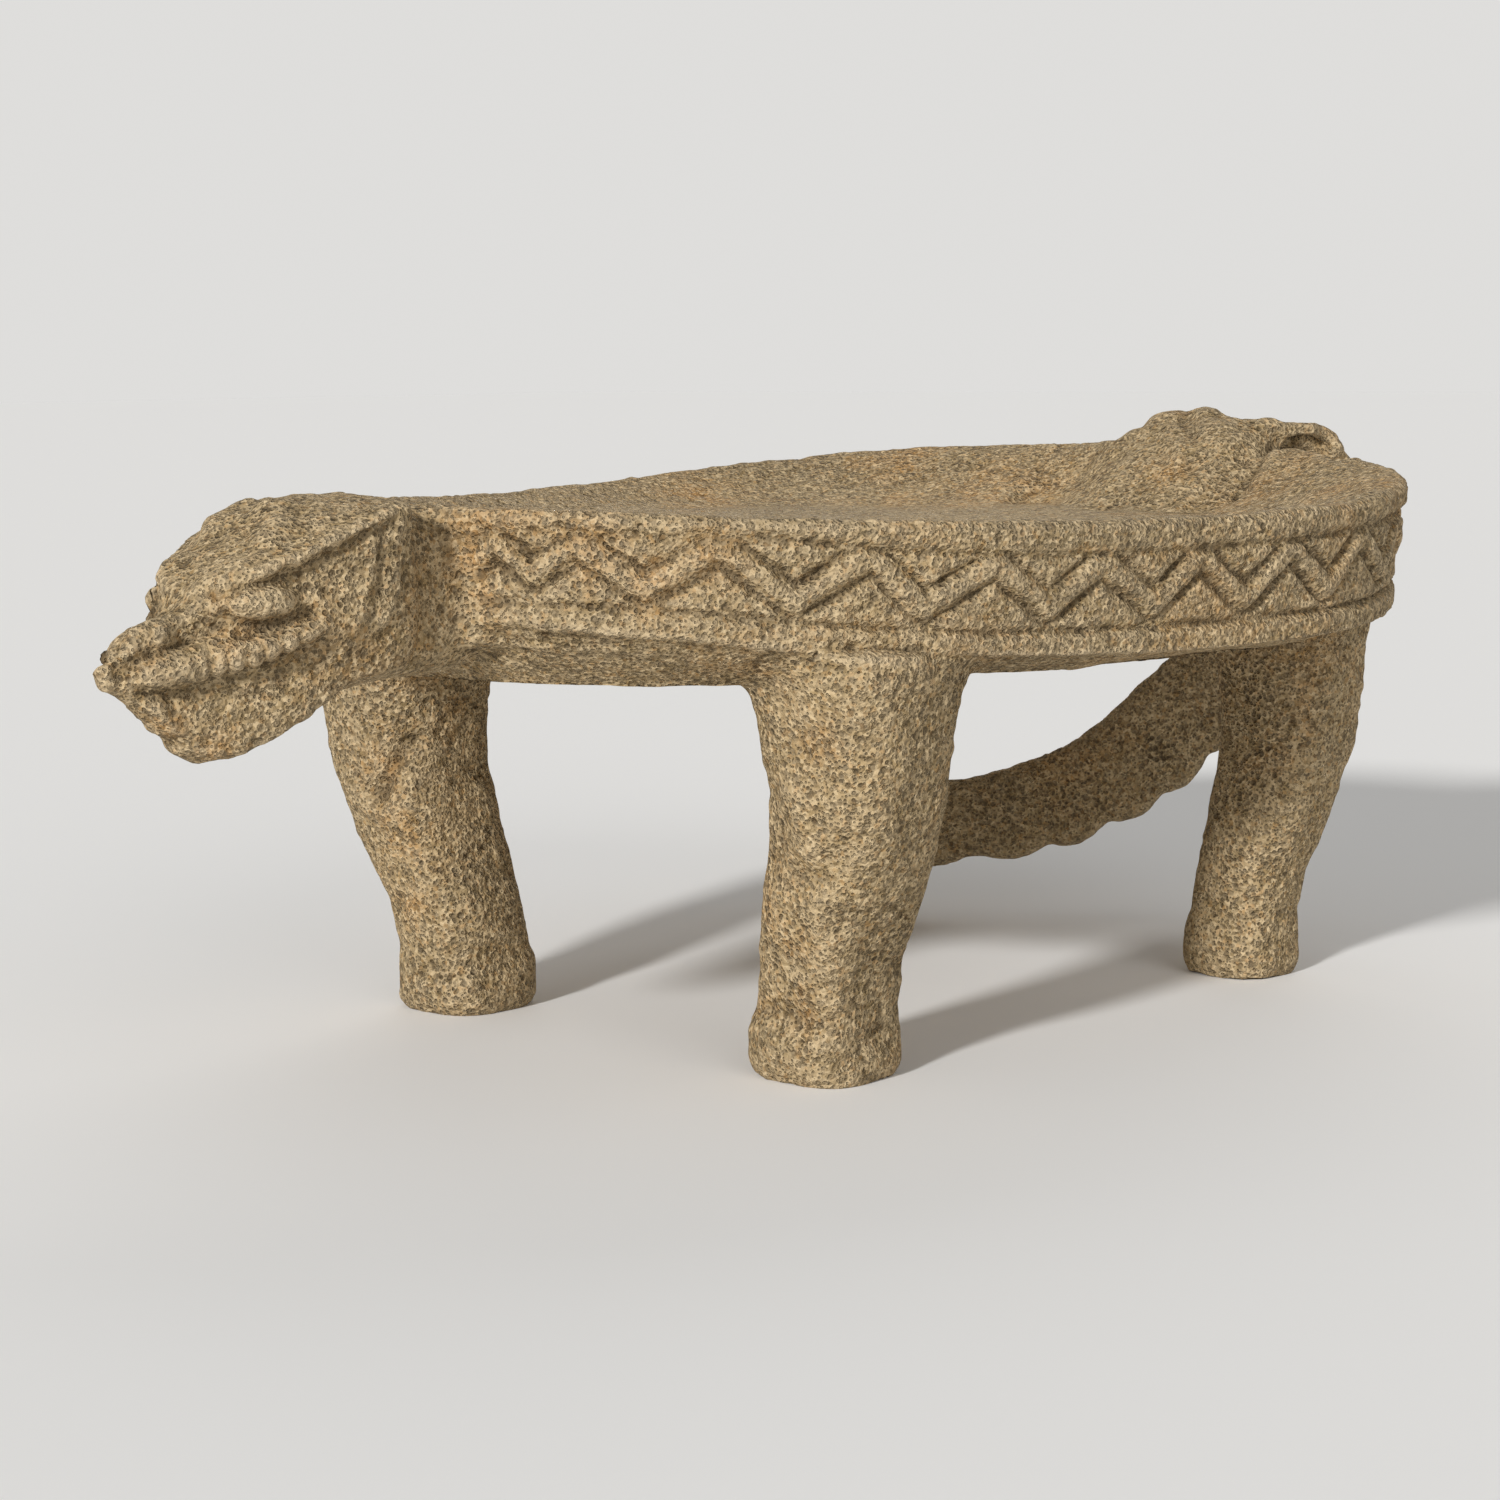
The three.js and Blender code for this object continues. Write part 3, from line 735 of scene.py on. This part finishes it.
STROKES = BROW + EYE + NOSE + LIPS + TEETH + NOSTRIL + CHIN + COLLAR + LEFT_LEG + MIDDLE_LEG + TAIL_ROOT
STROKE_FADE = 3

# Ochre stains on the photograph: right, down and how far each one reaches in mm
STAINS = [
    (470, 520, 13), (505, 524, 14), (548, 520, 10), (468, 560, 12), (482, 604, 9), (600, 545, 11),
    (655, 588, 12), (708, 556, 12), (235, 640, 8), (222, 602, 5), (152, 655, 6), (168, 728, 8),
    (216, 748, 8), (384, 772, 12), (396, 832, 12), (412, 902, 10), (700, 497, 26), (1000, 492, 34),
    (1250, 492, 22), (900, 462, 22), (820, 744, 9), (806, 1010, 10), (1168, 470, 12), (1330, 492, 14),
]

# Upper edges of the tail root and of the nose on the photograph, which nothing there stands above
ROOT_OUTLINE = [
    (1100, 443), (1114, 443), (1122, 438), (1133, 431), (1144, 428), (1151, 419), (1163, 414), (1182, 413),
    (1186, 414), (1194, 409), (1204, 408), (1214, 410), (1224, 416), (1243, 418), (1273, 419), (1284, 423),
    (1316, 423), (1329, 426), (1337, 434), (1339, 441), (1346, 446), (1351, 455), (1353, 461),
]
NOSE_OUTLINE = [(93, 675), (98, 666), (107, 660), (109, 651), (114, 640), (127, 630), (143, 624), (155, 616)]


def lower_to_outline(points, chosen, outline):
    """Lowers the chosen points that would show above an edge marked on the photograph."""
    index = np.where(chosen)[0]
    away = points[index] - CAMERA_PLACE
    far = away @ FORWARD
    right = PHOTO_SIZE / 2 + FOCAL_PX * (away @ RIGHT) / far
    down = PHOTO_SIZE / 2 + FOCAL_PX * (away @ DOWN) / far
    above = np.maximum(table_value(outline, right) - down, 0)
    above *= (right > outline[0][0]) & (right < outline[-1][0])
    points[index, 2] -= above * far / FOCAL_PX
    return points


def mark_places(tree, marks):
    """Where the marks of the photograph fall on the skin."""
    places = []
    for right, down in marks:
        ray = FORWARD + RIGHT * (right - PHOTO_SIZE / 2) / FOCAL_PX
        ray += DOWN * (down - PHOTO_SIZE / 2) / FOCAL_PX
        hit = tree.ray_cast(Vector(CAMERA_PLACE * MM), Vector(ray).normalized())[0]
        if hit:
            places.append(np.array(hit) / MM)
    return places


def carve_features(mesh, points, normals):
    """Draws the strokes into the skin. Also gives how stained each point is."""
    tree = BVHTree.FromPolygons(
        [Vector(point) for point in points * MM], [polygon.vertices[:] for polygon in mesh.polygons],
    )
    move = np.zeros(len(points))
    for marks, width, height, both_sides in STROKES:
        path = np.array(mark_places(tree, marks))
        for side in (1, -1) if both_sides else (1,):
            turned = path * [1, side, 1]
            reach = STROKE_FADE * width
            near = np.all((points > turned.min(0) - reach) & (points < turned.max(0) + reach), axis=1)
            index = np.where(near)[0]
            move[index] += height * hump(distance_to_path(points[index], turned), width)
    stained = np.zeros(len(points))
    for right, down, reach in STAINS:
        for place in mark_places(tree, [(right, down)]):
            stained = np.maximum(stained, hump(np.linalg.norm(points - place, axis=1), reach))
    return points + normals * move[:, None], stained


# Unevenness of the pecked surface: height, size and seed of each kind, then the pits and their crowds
WAVE_HEIGHT, WAVE_SIZE, WAVE_SEED = 0.95, 46, 1
SWELL_HEIGHT, SWELL_SIZE, SWELL_SEED = 0.55, 17, 2
PECK_HEIGHT, PECK_SIZE, PECK_SEED = 0.45, 9.5, 3
CRUMB_HEIGHT, CRUMB_SIZE, CRUMB_SEED = 0.5, 4.6, 4
PIT_DEPTH, PIT_SPACING, PIT_SEED = 1.8, 8.5, 5
PIT_RADIUS_LOW, PIT_RADIUS_HIGH = 1.6, 3.6
CROWD_SIZE, CROWD_SEED = 40, 6
CROWD_MIDDLE, CROWD_SWING = 0.6, 0.4

# Where the grinding face and the bevel are calmer and by how much, and where the tail root swells more
CALM_HEIGHT = (6, 0)
CALM_HALF_WIDTH = 190
CALM_FACING = (0.8, 0.95)
BEVEL_TOP = (UNDERSIDE + 12, UNDERSIDE + 5)
BEVEL_BOTTOM = (UNDERSIDE - 2, UNDERSIDE - 0.5)
BEVEL_FACING = (-0.1, -0.5)
FINE_LOST_ON_FACE, FINE_LOST_ON_BEVEL = 0.5, 0.6
PITS_LOST_ON_FACE, PITS_LOST_ON_BEVEL = 0.55, 0.7
SWOLLEN_ROOT = 0.9
SWOLLEN_HEIGHT = (232, 238)
SWOLLEN_BACK = (160, 175)
SWOLLEN_LEFT, SWOLLEN_RIGHT = -115, 50


def roughen(points, normals):
    """The unevenness and the larger pits of pecked volcanic stone."""
    x, y, z = points.T
    calm = smooth_step(*CALM_HEIGHT, np.abs(z - BOWL_FLOOR)) * (np.abs(y) < CALM_HALF_WIDTH)
    calm *= smooth_step(*CALM_FACING, normals[:, 2])
    bevel = smooth_step(*BEVEL_TOP, z) * smooth_step(*BEVEL_BOTTOM, z)
    bevel *= smooth_step(*BEVEL_FACING, normals[:, 2])
    root = smooth_step(*SWOLLEN_HEIGHT, z) * smooth_step(*SWOLLEN_BACK, x)
    root *= (y > SWOLLEN_LEFT) & (y < SWOLLEN_RIGHT)
    move = WAVE_HEIGHT * lattice_noise(points, WAVE_SIZE, WAVE_SEED)
    move += (SWELL_HEIGHT + SWOLLEN_ROOT * root) * lattice_noise(points, SWELL_SIZE, SWELL_SEED)
    fine = PECK_HEIGHT * lattice_noise(points, PECK_SIZE, PECK_SEED)
    fine += CRUMB_HEIGHT * lattice_noise(points, CRUMB_SIZE, CRUMB_SEED)
    move += fine * (1 - FINE_LOST_ON_FACE * calm) * (1 - FINE_LOST_ON_BEVEL * bevel)
    hollow = PIT_DEPTH * pits(points, PIT_SPACING, PIT_RADIUS_LOW, PIT_RADIUS_HIGH, PIT_SEED)
    hollow *= CROWD_MIDDLE + CROWD_SWING * lattice_noise(points, CROWD_SIZE, CROWD_SEED)
    move -= hollow * (1 - PITS_LOST_ON_FACE * calm) * (1 - PITS_LOST_ON_BEVEL * bevel)
    return points + normals * move[:, None]


# How strongly and how often the skin is relaxed, and what its looks are read from
SOFTENING = 0.5
SOFT_ROUNDS = 3
ON_HEAD = (COLLAR_FRONT + 4, COLLAR_FRONT - 10)
HEAD_KEEPS = 0.35
FILLET_ROUNDS = 22
TRIM_SOFTENING = 0.4
TRIM_ROUNDS = 2
LOOK_SOFTENING = 0.6
LOOK_ROUNDS = 14
LEVEL_LOOK = 0.5
HOLLOW_GAIN = 0.28
WORN_FACING = (0.75, 0.95)
WORN_HEIGHT = (16, 3)


@dataclass
class Skin:
    """The carved skin as arrays: points, faces with their owners, and a number per point for each look."""
    points: np.ndarray
    normals: np.ndarray
    starts: np.ndarray
    sizes: np.ndarray
    corners: np.ndarray
    owners: np.ndarray
    looks: dict


def soften(mesh, edges):
    """Rounds the skin's edges, most of all where one zone flows into the next."""
    points = read_points(mesh)
    on_head = smooth_step(*ON_HEAD, points[:, 0])
    points = relax(points, edges, SOFTENING * (1 - HEAD_KEEPS * on_head), SOFT_ROUNDS)
    points = relax(points, edges, SOFTENING * fillet_weight(points), FILLET_ROUNDS)
    write_points(mesh, points)
    return points


def trim_outlines(points, edges):
    """Keeps the tail root and the nose below their edges on the photograph."""
    x, y, z = points.T
    at_root = (x > ROOT_TOP_LOW[0]) & (y > ROOT_TOP_LOW[1]) & (z > ROOT_TOP_LOW[2]) & (y < ROOT_TOP_RIGHT)
    at_nose = (x < NOSE_BACK) & (z > NOSE_BOTTOM)
    points = lower_to_outline(points, at_root, ROOT_OUTLINE)
    points = lower_to_outline(points, at_nose, NOSE_OUTLINE)
    return relax(points, edges, TRIM_SOFTENING * (at_root | at_nose), TRIM_ROUNDS)


def point_looks(points, normals, edges, stained):
    """How sunk between its neighbours, how worn by grinding and how stained each point is, from 0 to 1."""
    soft = relax(points, edges, np.full(len(points), LOOK_SOFTENING), LOOK_ROUNDS)
    sunk = np.einsum("ij,ij->i", soft - points, normals)
    worn = smooth_step(*WORN_FACING, normals[:, 2])
    worn *= smooth_step(*WORN_HEIGHT, np.abs(points[:, 2] - BOWL_FLOOR)) * (points[:, 0] > JOINT_NECK)
    return {"hollow": np.clip(LEVEL_LOOK + HOLLOW_GAIN * sunk, 0, 1), "worn": worn, "stained": stained}


def carved_skin():
    mesh = cut_skin(stone_skin())
    edges = read_edges(mesh)
    faces = read_faces(mesh)
    owners = face_owners(read_points(mesh), *faces)
    points = soften(mesh, edges)
    points = shape_bowl(points, read_normals(mesh))
    points = trim_outlines(carve_side(points), edges)
    write_points(mesh, points)
    points, stained = carve_features(mesh, points, read_normals(mesh))
    write_points(mesh, points)
    points = roughen(points, read_normals(mesh))
    points[:, 2] = np.maximum(points[:, 2], 0.0)
    write_points(mesh, points)
    normals = read_normals(mesh)
    bpy.data.meshes.remove(mesh)
    return Skin(points, normals, *faces, owners, point_looks(points, normals, edges, stained))


def make_piece(name, skin):
    """One closed piece from the faces of the skin that belong to it, shaded as the skin is."""
    chosen = np.where(skin.owners == name)[0]
    sizes = skin.sizes[chosen]
    faces = [skin.corners[skin.starts[i]:skin.starts[i] + skin.sizes[i]] for i in chosen]
    used, flat = np.unique(np.concatenate(faces), return_inverse=True)
    shapes = [flat[end - size:end].tolist() for end, size in zip(np.cumsum(sizes), sizes)]
    mesh = bpy.data.meshes.new(name + "_stone")
    mesh.from_pydata((skin.points[used] * MM).tolist(), [], shapes)
    build = bmesh.new()
    build.from_mesh(mesh)
    bmesh.ops.holes_fill(build, edges=[edge for edge in build.edges if edge.is_boundary], sides=0)
    build.to_mesh(mesh)
    build.free()
    mesh.polygons.foreach_set("use_smooth", np.ones(len(mesh.polygons), bool))
    for label, values in skin.looks.items():
        layer = mesh.attributes.new(label, "FLOAT", "POINT")
        layer.data.foreach_set("value", values[used].astype(np.float32))
    mesh.normals_split_custom_set_from_vertices(skin.normals[used].tolist())
    piece = bpy.data.objects.new(name + "_stone", mesh)
    scene.collection.objects.link(piece)
    return piece


# Colours of the stone, as linear red, green and blue
GROUND_DARK = (0.245, 0.172, 0.08)
GROUND_LIGHT = (0.38, 0.268, 0.13)
MOTTLE = (0.58, 0.445, 0.275)
OCHRE = (0.46, 0.24, 0.075)
STAIN = (0.5, 0.25, 0.07)
LIGHT_GRAIN = (0.74, 0.575, 0.35)
ORANGE_GRAIN = (0.5, 0.26, 0.08)
DARK_GRAIN = (0.07, 0.05, 0.03)
PIT_SHADE = (0.055, 0.038, 0.022)
# Painted shade that darkens the carved hollows
HOLLOW_SHADE = (0.11, 0.075, 0.04)
RUBBED = (0.68, 0.54, 0.35)

# How much of each colour shows at most
MOTTLE_SHARE = 0.4
OCHRE_SHARE = 0.5
STAIN_SHARE = 0.62
LIGHT_GRAIN_SHARE = 0.55
ORANGE_GRAIN_SHARE = 0.3
DARK_GRAIN_SHARE = 0.45
PIT_SHADE_SHARE = 0.72
# How much painted shade darkens the carved hollows
HOLLOW_SHADE_SHARE = 0.7
RUBBED_SHARE = 0.4

# Noise patterns, as settings of the noise node. A scale is a number of waves for each metre.
PATCHES = {"Scale": 11.0, "Detail": 4.0, "Roughness": 0.6, "Distortion": 0.4}
OCHRE_PATCHES = {"Scale": 17.0, "Detail": 5.0, "Roughness": 0.62, "Distortion": 0.6}
PIT_CROWDS = {"Scale": 38.0}
BROKEN_EDGES = {"Scale": 70.0, "Detail": 4.0, "Roughness": 0.6}
MOTTLES = {"Scale": 95.0, "Detail": 4.0, "Roughness": 0.65}
SWELLS = {"Scale": 190.0, "Detail": 3.0, "Roughness": 0.6}
BENDS = {"Scale": 210.0}
CRUMBS = {"Scale": 460.0, "Detail": 3.0, "Roughness": 0.6}

# Cell patterns, in cells for each metre
BIG_PITS = 185.0
MIDDLING_PITS = 330.0
LUMPS = 330.0
GRAINS = 560.0
SMALL_PITS = 620.0

# How a pattern's level turns into a share: pairs of a level and its share
PATCH_STOPS = ((0.36, 0.0), (0.66, 1.0))
OCHRE_STOPS = ((0.54, 0.0), (0.72, 1.0))
BROKEN_STOPS = ((0.34, 0.0), (0.6, 1.0))
LIGHT_GRAIN_STOPS = ((0.2, 0.0), (0.95, 1.0))
DARK_GRAIN_STOPS = ((0.8, 0.0), (0.9, 1.0))
ORANGE_GRAIN_STOPS = ((0.84, 0.0), (0.92, 1.0))
CROWD_STOPS = ((0.3, 0.35), (0.7, 1.0))
BIG_PIT_STOPS = ((0.14, 1.0), (0.3, 0.0))
MIDDLING_PIT_STOPS = ((0.16, 1.0), (0.36, 0.0))
SMALL_PIT_STOPS = ((0.2, 1.0), (0.4, 0.0))
# Where the painted shade in the carved hollows sets in
HOLLOW_SHADE_STOPS = ((0.5, 0.0), (0.95, 1.0))
PROUD_STOPS = ((0.05, 1.0), (0.5, 0.0))

# Depth of the small pits, share of them that wear takes away, and the surface
SMALL_PIT_DEPTH = 0.6
PITS_WORN_AWAY = 0.35
CRUMB_LEVEL = 0.4
SWELL_LEVEL = 0.7
BEND_SHARE = 0.0004
BUMP_DEPTH = 2.2
STONE_GLOSS = 0.12
STONE_ROUGHNESS = 0.8
MOTTLE_ROUGHNESS = 0.16
WORN_SMOOTHNESS = 0.14


class StoneNodes:
    """Short calls for the nodes of one material."""

    def __init__(self, tree):
        self.nodes, self.links = tree.nodes, tree.links
        self.place = self.nodes.new("ShaderNodeTexCoord").outputs["Object"]

    def fill(self, socket, value):
        """Sets a socket to a number or a colour, or links it to another node."""
        if isinstance(value, tuple):
            socket.default_value = (*value, 1)
        elif isinstance(value, (int, float)):
            socket.default_value = value
        else:
            self.links.new(value, socket)

    def noise(self, settings):
        node = self.nodes.new("ShaderNodeTexNoise")
        for label, value in settings.items():
            node.inputs[label].default_value = value
        self.links.new(self.place, node.inputs["Vector"])
        return node.outputs

    def cells(self, scale, place):
        node = self.nodes.new("ShaderNodeTexVoronoi")
        node.inputs["Scale"].default_value = scale
        self.links.new(place, node.inputs["Vector"])
        return node.outputs

    def ramp(self, value, stops):
        node = self.nodes.new("ShaderNodeValToRGB")
        for element, (position, level) in zip(node.color_ramp.elements, stops):
            element.position = position
            element.color = (level, level, level, 1)
        self.links.new(value, node.inputs["Fac"])
        return node.outputs["Color"]

    def calculate(self, operation, first, second):
        node = self.nodes.new("ShaderNodeMath")
        node.operation = operation
        self.fill(node.inputs[0], first)
        self.fill(node.inputs[1], second)
        return node.outputs[0]

    def times(self, first, second):
        return self.calculate("MULTIPLY", first, second)

    def mix(self, share, first, second, kind="MIX"):
        node = self.nodes.new("ShaderNodeMixRGB")
        node.blend_type = kind
        for socket, value in zip(node.inputs, (share, first, second)):
            self.fill(socket, value)
        return node.outputs["Color"]

    def attribute(self, label):
        node = self.nodes.new("ShaderNodeAttribute")
        node.attribute_name = label
        return node.outputs["Fac"]


def ground_colour(make, bent, mottle):
    """Broad patches, mottling and ochre stains, then single grains."""
    patch = make.ramp(make.noise(PATCHES)["Fac"], PATCH_STOPS)
    ochre = make.ramp(make.noise(OCHRE_PATCHES)["Fac"], OCHRE_STOPS)
    broken = make.ramp(make.noise(BROKEN_EDGES)["Fac"], BROKEN_STOPS)
    ground = make.mix(patch, GROUND_DARK, GROUND_LIGHT)
    ground = make.mix(make.times(mottle, MOTTLE_SHARE), ground, MOTTLE)
    ground = make.mix(make.times(ochre, OCHRE_SHARE), ground, OCHRE)
    marked = make.times(make.attribute("stained"), broken)
    ground = make.mix(make.times(marked, STAIN_SHARE), ground, STAIN)

    grain = make.nodes.new("ShaderNodeSeparateColor")
    make.links.new(make.cells(GRAINS, bent)["Color"], grain.inputs["Color"])
    light = make.ramp(grain.outputs["Red"], LIGHT_GRAIN_STOPS)
    dark = make.ramp(grain.outputs["Green"], DARK_GRAIN_STOPS)
    orange = make.ramp(grain.outputs["Blue"], ORANGE_GRAIN_STOPS)
    ground = make.mix(make.times(light, LIGHT_GRAIN_SHARE), ground, LIGHT_GRAIN)
    ground = make.mix(make.times(orange, ORANGE_GRAIN_SHARE), ground, ORANGE_GRAIN)
    return make.mix(make.times(dark, DARK_GRAIN_SHARE), ground, DARK_GRAIN)


def small_pits(make, bent, worn):
    """Pits in three sizes, too small for the mesh and fewer where the stone is worn."""
    crowd = make.ramp(make.noise(PIT_CROWDS)["Fac"], CROWD_STOPS)
    big = make.ramp(make.cells(BIG_PITS, bent)["Distance"], BIG_PIT_STOPS)
    middling = make.ramp(make.cells(MIDDLING_PITS, bent)["Distance"], MIDDLING_PIT_STOPS)
    small = make.ramp(make.cells(SMALL_PITS, bent)["Distance"], SMALL_PIT_STOPS)
    pit = make.calculate("MAXIMUM", make.times(big, crowd), make.times(middling, crowd))
    pit = make.calculate("MAXIMUM", pit, make.times(small, SMALL_PIT_DEPTH))
    return make.times(pit, make.calculate("SUBTRACT", 1.0, make.times(worn, PITS_WORN_AWAY)))


def surface_height(make, bent, pit):
    """Crumbs, swells and lumps, less the pits."""
    height = make.times(make.noise(CRUMBS)["Fac"], CRUMB_LEVEL)
    height = make.calculate("ADD", height, make.times(make.noise(SWELLS)["Fac"], SWELL_LEVEL))
    height = make.calculate("SUBTRACT", height, make.cells(LUMPS, bent)["Distance"])
    return make.calculate("SUBTRACT", height, pit)


def stone_material(name):
    material = bpy.data.materials.new(name)
    material.use_nodes = True
    make = StoneNodes(material.node_tree)
    shader = make.nodes["Principled BSDF"]
    shader.inputs["Specular IOR Level"].default_value = STONE_GLOSS

    # places bent a little, so that no pit is quite round
    bent = make.mix(BEND_SHARE, make.place, make.noise(BENDS)["Color"], "LINEAR_LIGHT")
    mottle = make.ramp(make.noise(MOTTLES)["Fac"], PATCH_STOPS)
    worn = make.attribute("worn")
    pit = small_pits(make, bent, worn)
    ground = make.mix(make.times(pit, PIT_SHADE_SHARE), ground_colour(make, bent, mottle), PIT_SHADE)

    # painted shade darkening the carved hollows, rubbed light on the edges
    depth = make.attribute("hollow")
    sunk = make.ramp(depth, HOLLOW_SHADE_STOPS)
    proud = make.ramp(depth, PROUD_STOPS)
    ground = make.mix(make.times(sunk, HOLLOW_SHADE_SHARE), ground, HOLLOW_SHADE)
    ground = make.mix(make.times(proud, RUBBED_SHARE), ground, RUBBED)
    make.links.new(ground, shader.inputs["Base Color"])

    rough = make.calculate("ADD", make.times(mottle, MOTTLE_ROUGHNESS), STONE_ROUGHNESS)
    rough = make.calculate("SUBTRACT", rough, make.times(worn, WORN_SMOOTHNESS))
    make.links.new(rough, shader.inputs["Roughness"])

    bump = make.nodes.new("ShaderNodeBump")
    bump.inputs["Strength"].default_value = 1.0
    bump.inputs["Distance"].default_value = BUMP_DEPTH * MM
    make.links.new(surface_height(make, bent, pit), bump.inputs["Height"])
    make.links.new(bump.outputs["Normal"], shader.inputs["Normal"])
    return material


# Floor, background and lamps. The background has the brightness that the lamps give the floor.
FLOOR_REACH_M = 20.0
FLOOR_COLOUR = (0.9, 0.89, 0.87, 1)
FLOOR_ROUGHNESS = 0.95
BACKGROUND = 0.735
BACKGROUND_COLOUR = (BACKGROUND, BACKGROUND * 0.99, BACKGROUND * 0.97, 1)
FILL = 0.27

# Each lamp: its name, where its light comes from, how wide it looks in degrees, and its strength
LAMPS = [
    ("key", (-0.91, -0.17, 0.39), 6, 2.85),
    ("soft", (-0.3, -0.82, 0.48), 40, 0.5),
    ("rear", (0.72, 0.5, 0.48), 50, 0.75),
]


def add_floor():
    mesh = bpy.data.meshes.new("floor")
    places = [(x * FLOOR_REACH_M, y * FLOOR_REACH_M, 0) for x, y in ((-1, -1), (1, -1), (1, 1), (-1, 1))]
    mesh.from_pydata(places, [], [(0, 1, 2, 3)])
    floor = bpy.data.objects.new("floor", mesh)
    scene.collection.objects.link(floor)
    paint = bpy.data.materials.new("floor_paint")
    paint.use_nodes = True
    shader = paint.node_tree.nodes["Principled BSDF"]
    shader.inputs["Base Color"].default_value = FLOOR_COLOUR
    shader.inputs["Roughness"].default_value = FLOOR_ROUGHNESS
    shader.inputs["Specular IOR Level"].default_value = 0.0
    mesh.materials.append(paint)


def add_world():
    """Even light from all round, and a pale background for what the camera and reflections see."""
    world = bpy.data.worlds.new("world")
    scene.world = world
    world.use_nodes = True
    nodes, links = world.node_tree.nodes, world.node_tree.links
    nodes.clear()
    fill = nodes.new("ShaderNodeBackground")
    fill.inputs["Color"].default_value = (1, 1, 1, 1)
    fill.inputs["Strength"].default_value = FILL
    seen = nodes.new("ShaderNodeBackground")
    seen.inputs["Color"].default_value = BACKGROUND_COLOUR
    seen.inputs["Strength"].default_value = 1.0
    rays = nodes.new("ShaderNodeLightPath").outputs
    camera_or_glossy = nodes.new("ShaderNodeMath")
    camera_or_glossy.operation = "MAXIMUM"
    any_seen = nodes.new("ShaderNodeMath")
    any_seen.operation = "MAXIMUM"
    mix = nodes.new("ShaderNodeMixShader")
    out = nodes.new("ShaderNodeOutputWorld")
    links.new(rays["Is Camera Ray"], camera_or_glossy.inputs[0])
    links.new(rays["Is Glossy Ray"], camera_or_glossy.inputs[1])
    links.new(camera_or_glossy.outputs[0], any_seen.inputs[0])
    links.new(rays["Is Transmission Ray"], any_seen.inputs[1])
    links.new(any_seen.outputs[0], mix.inputs[0])
    links.new(fill.outputs[0], mix.inputs[1])
    links.new(seen.outputs[0], mix.inputs[2])
    links.new(mix.outputs[0], out.inputs["Surface"])


def add_lamps():
    for name, toward, spread, strength in LAMPS:
        data = bpy.data.lights.new(name, "SUN")
        data.angle = math.radians(spread)
        data.energy = strength
        lamp = bpy.data.objects.new(name, data)
        lamp.rotation_euler = (-Vector(toward)).to_track_quat("-Z", "Y").to_euler()
        scene.collection.objects.link(lamp)


# The scene
SLOTS = {
    "grinding_plate": "plate_stone", "neck": "body_stone", "head": "head_stone", "tail": "tail_stone",
    "leg_front_left": "leg_stone", "leg_front_right": "leg_stone",
    "leg_rear_left": "leg_stone", "leg_rear_right": "leg_stone",
}
add_camera()
skin = carved_skin()
materials = {slot: stone_material(slot) for slot in sorted(set(SLOTS.values()))}
for name, slot in SLOTS.items():
    piece = make_piece(name, skin)
    piece.data.materials.append(materials[slot])
    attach(piece, "root")
    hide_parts(name)
add_floor()
add_world()
add_lamps()
scene.view_settings.view_transform = "Standard"
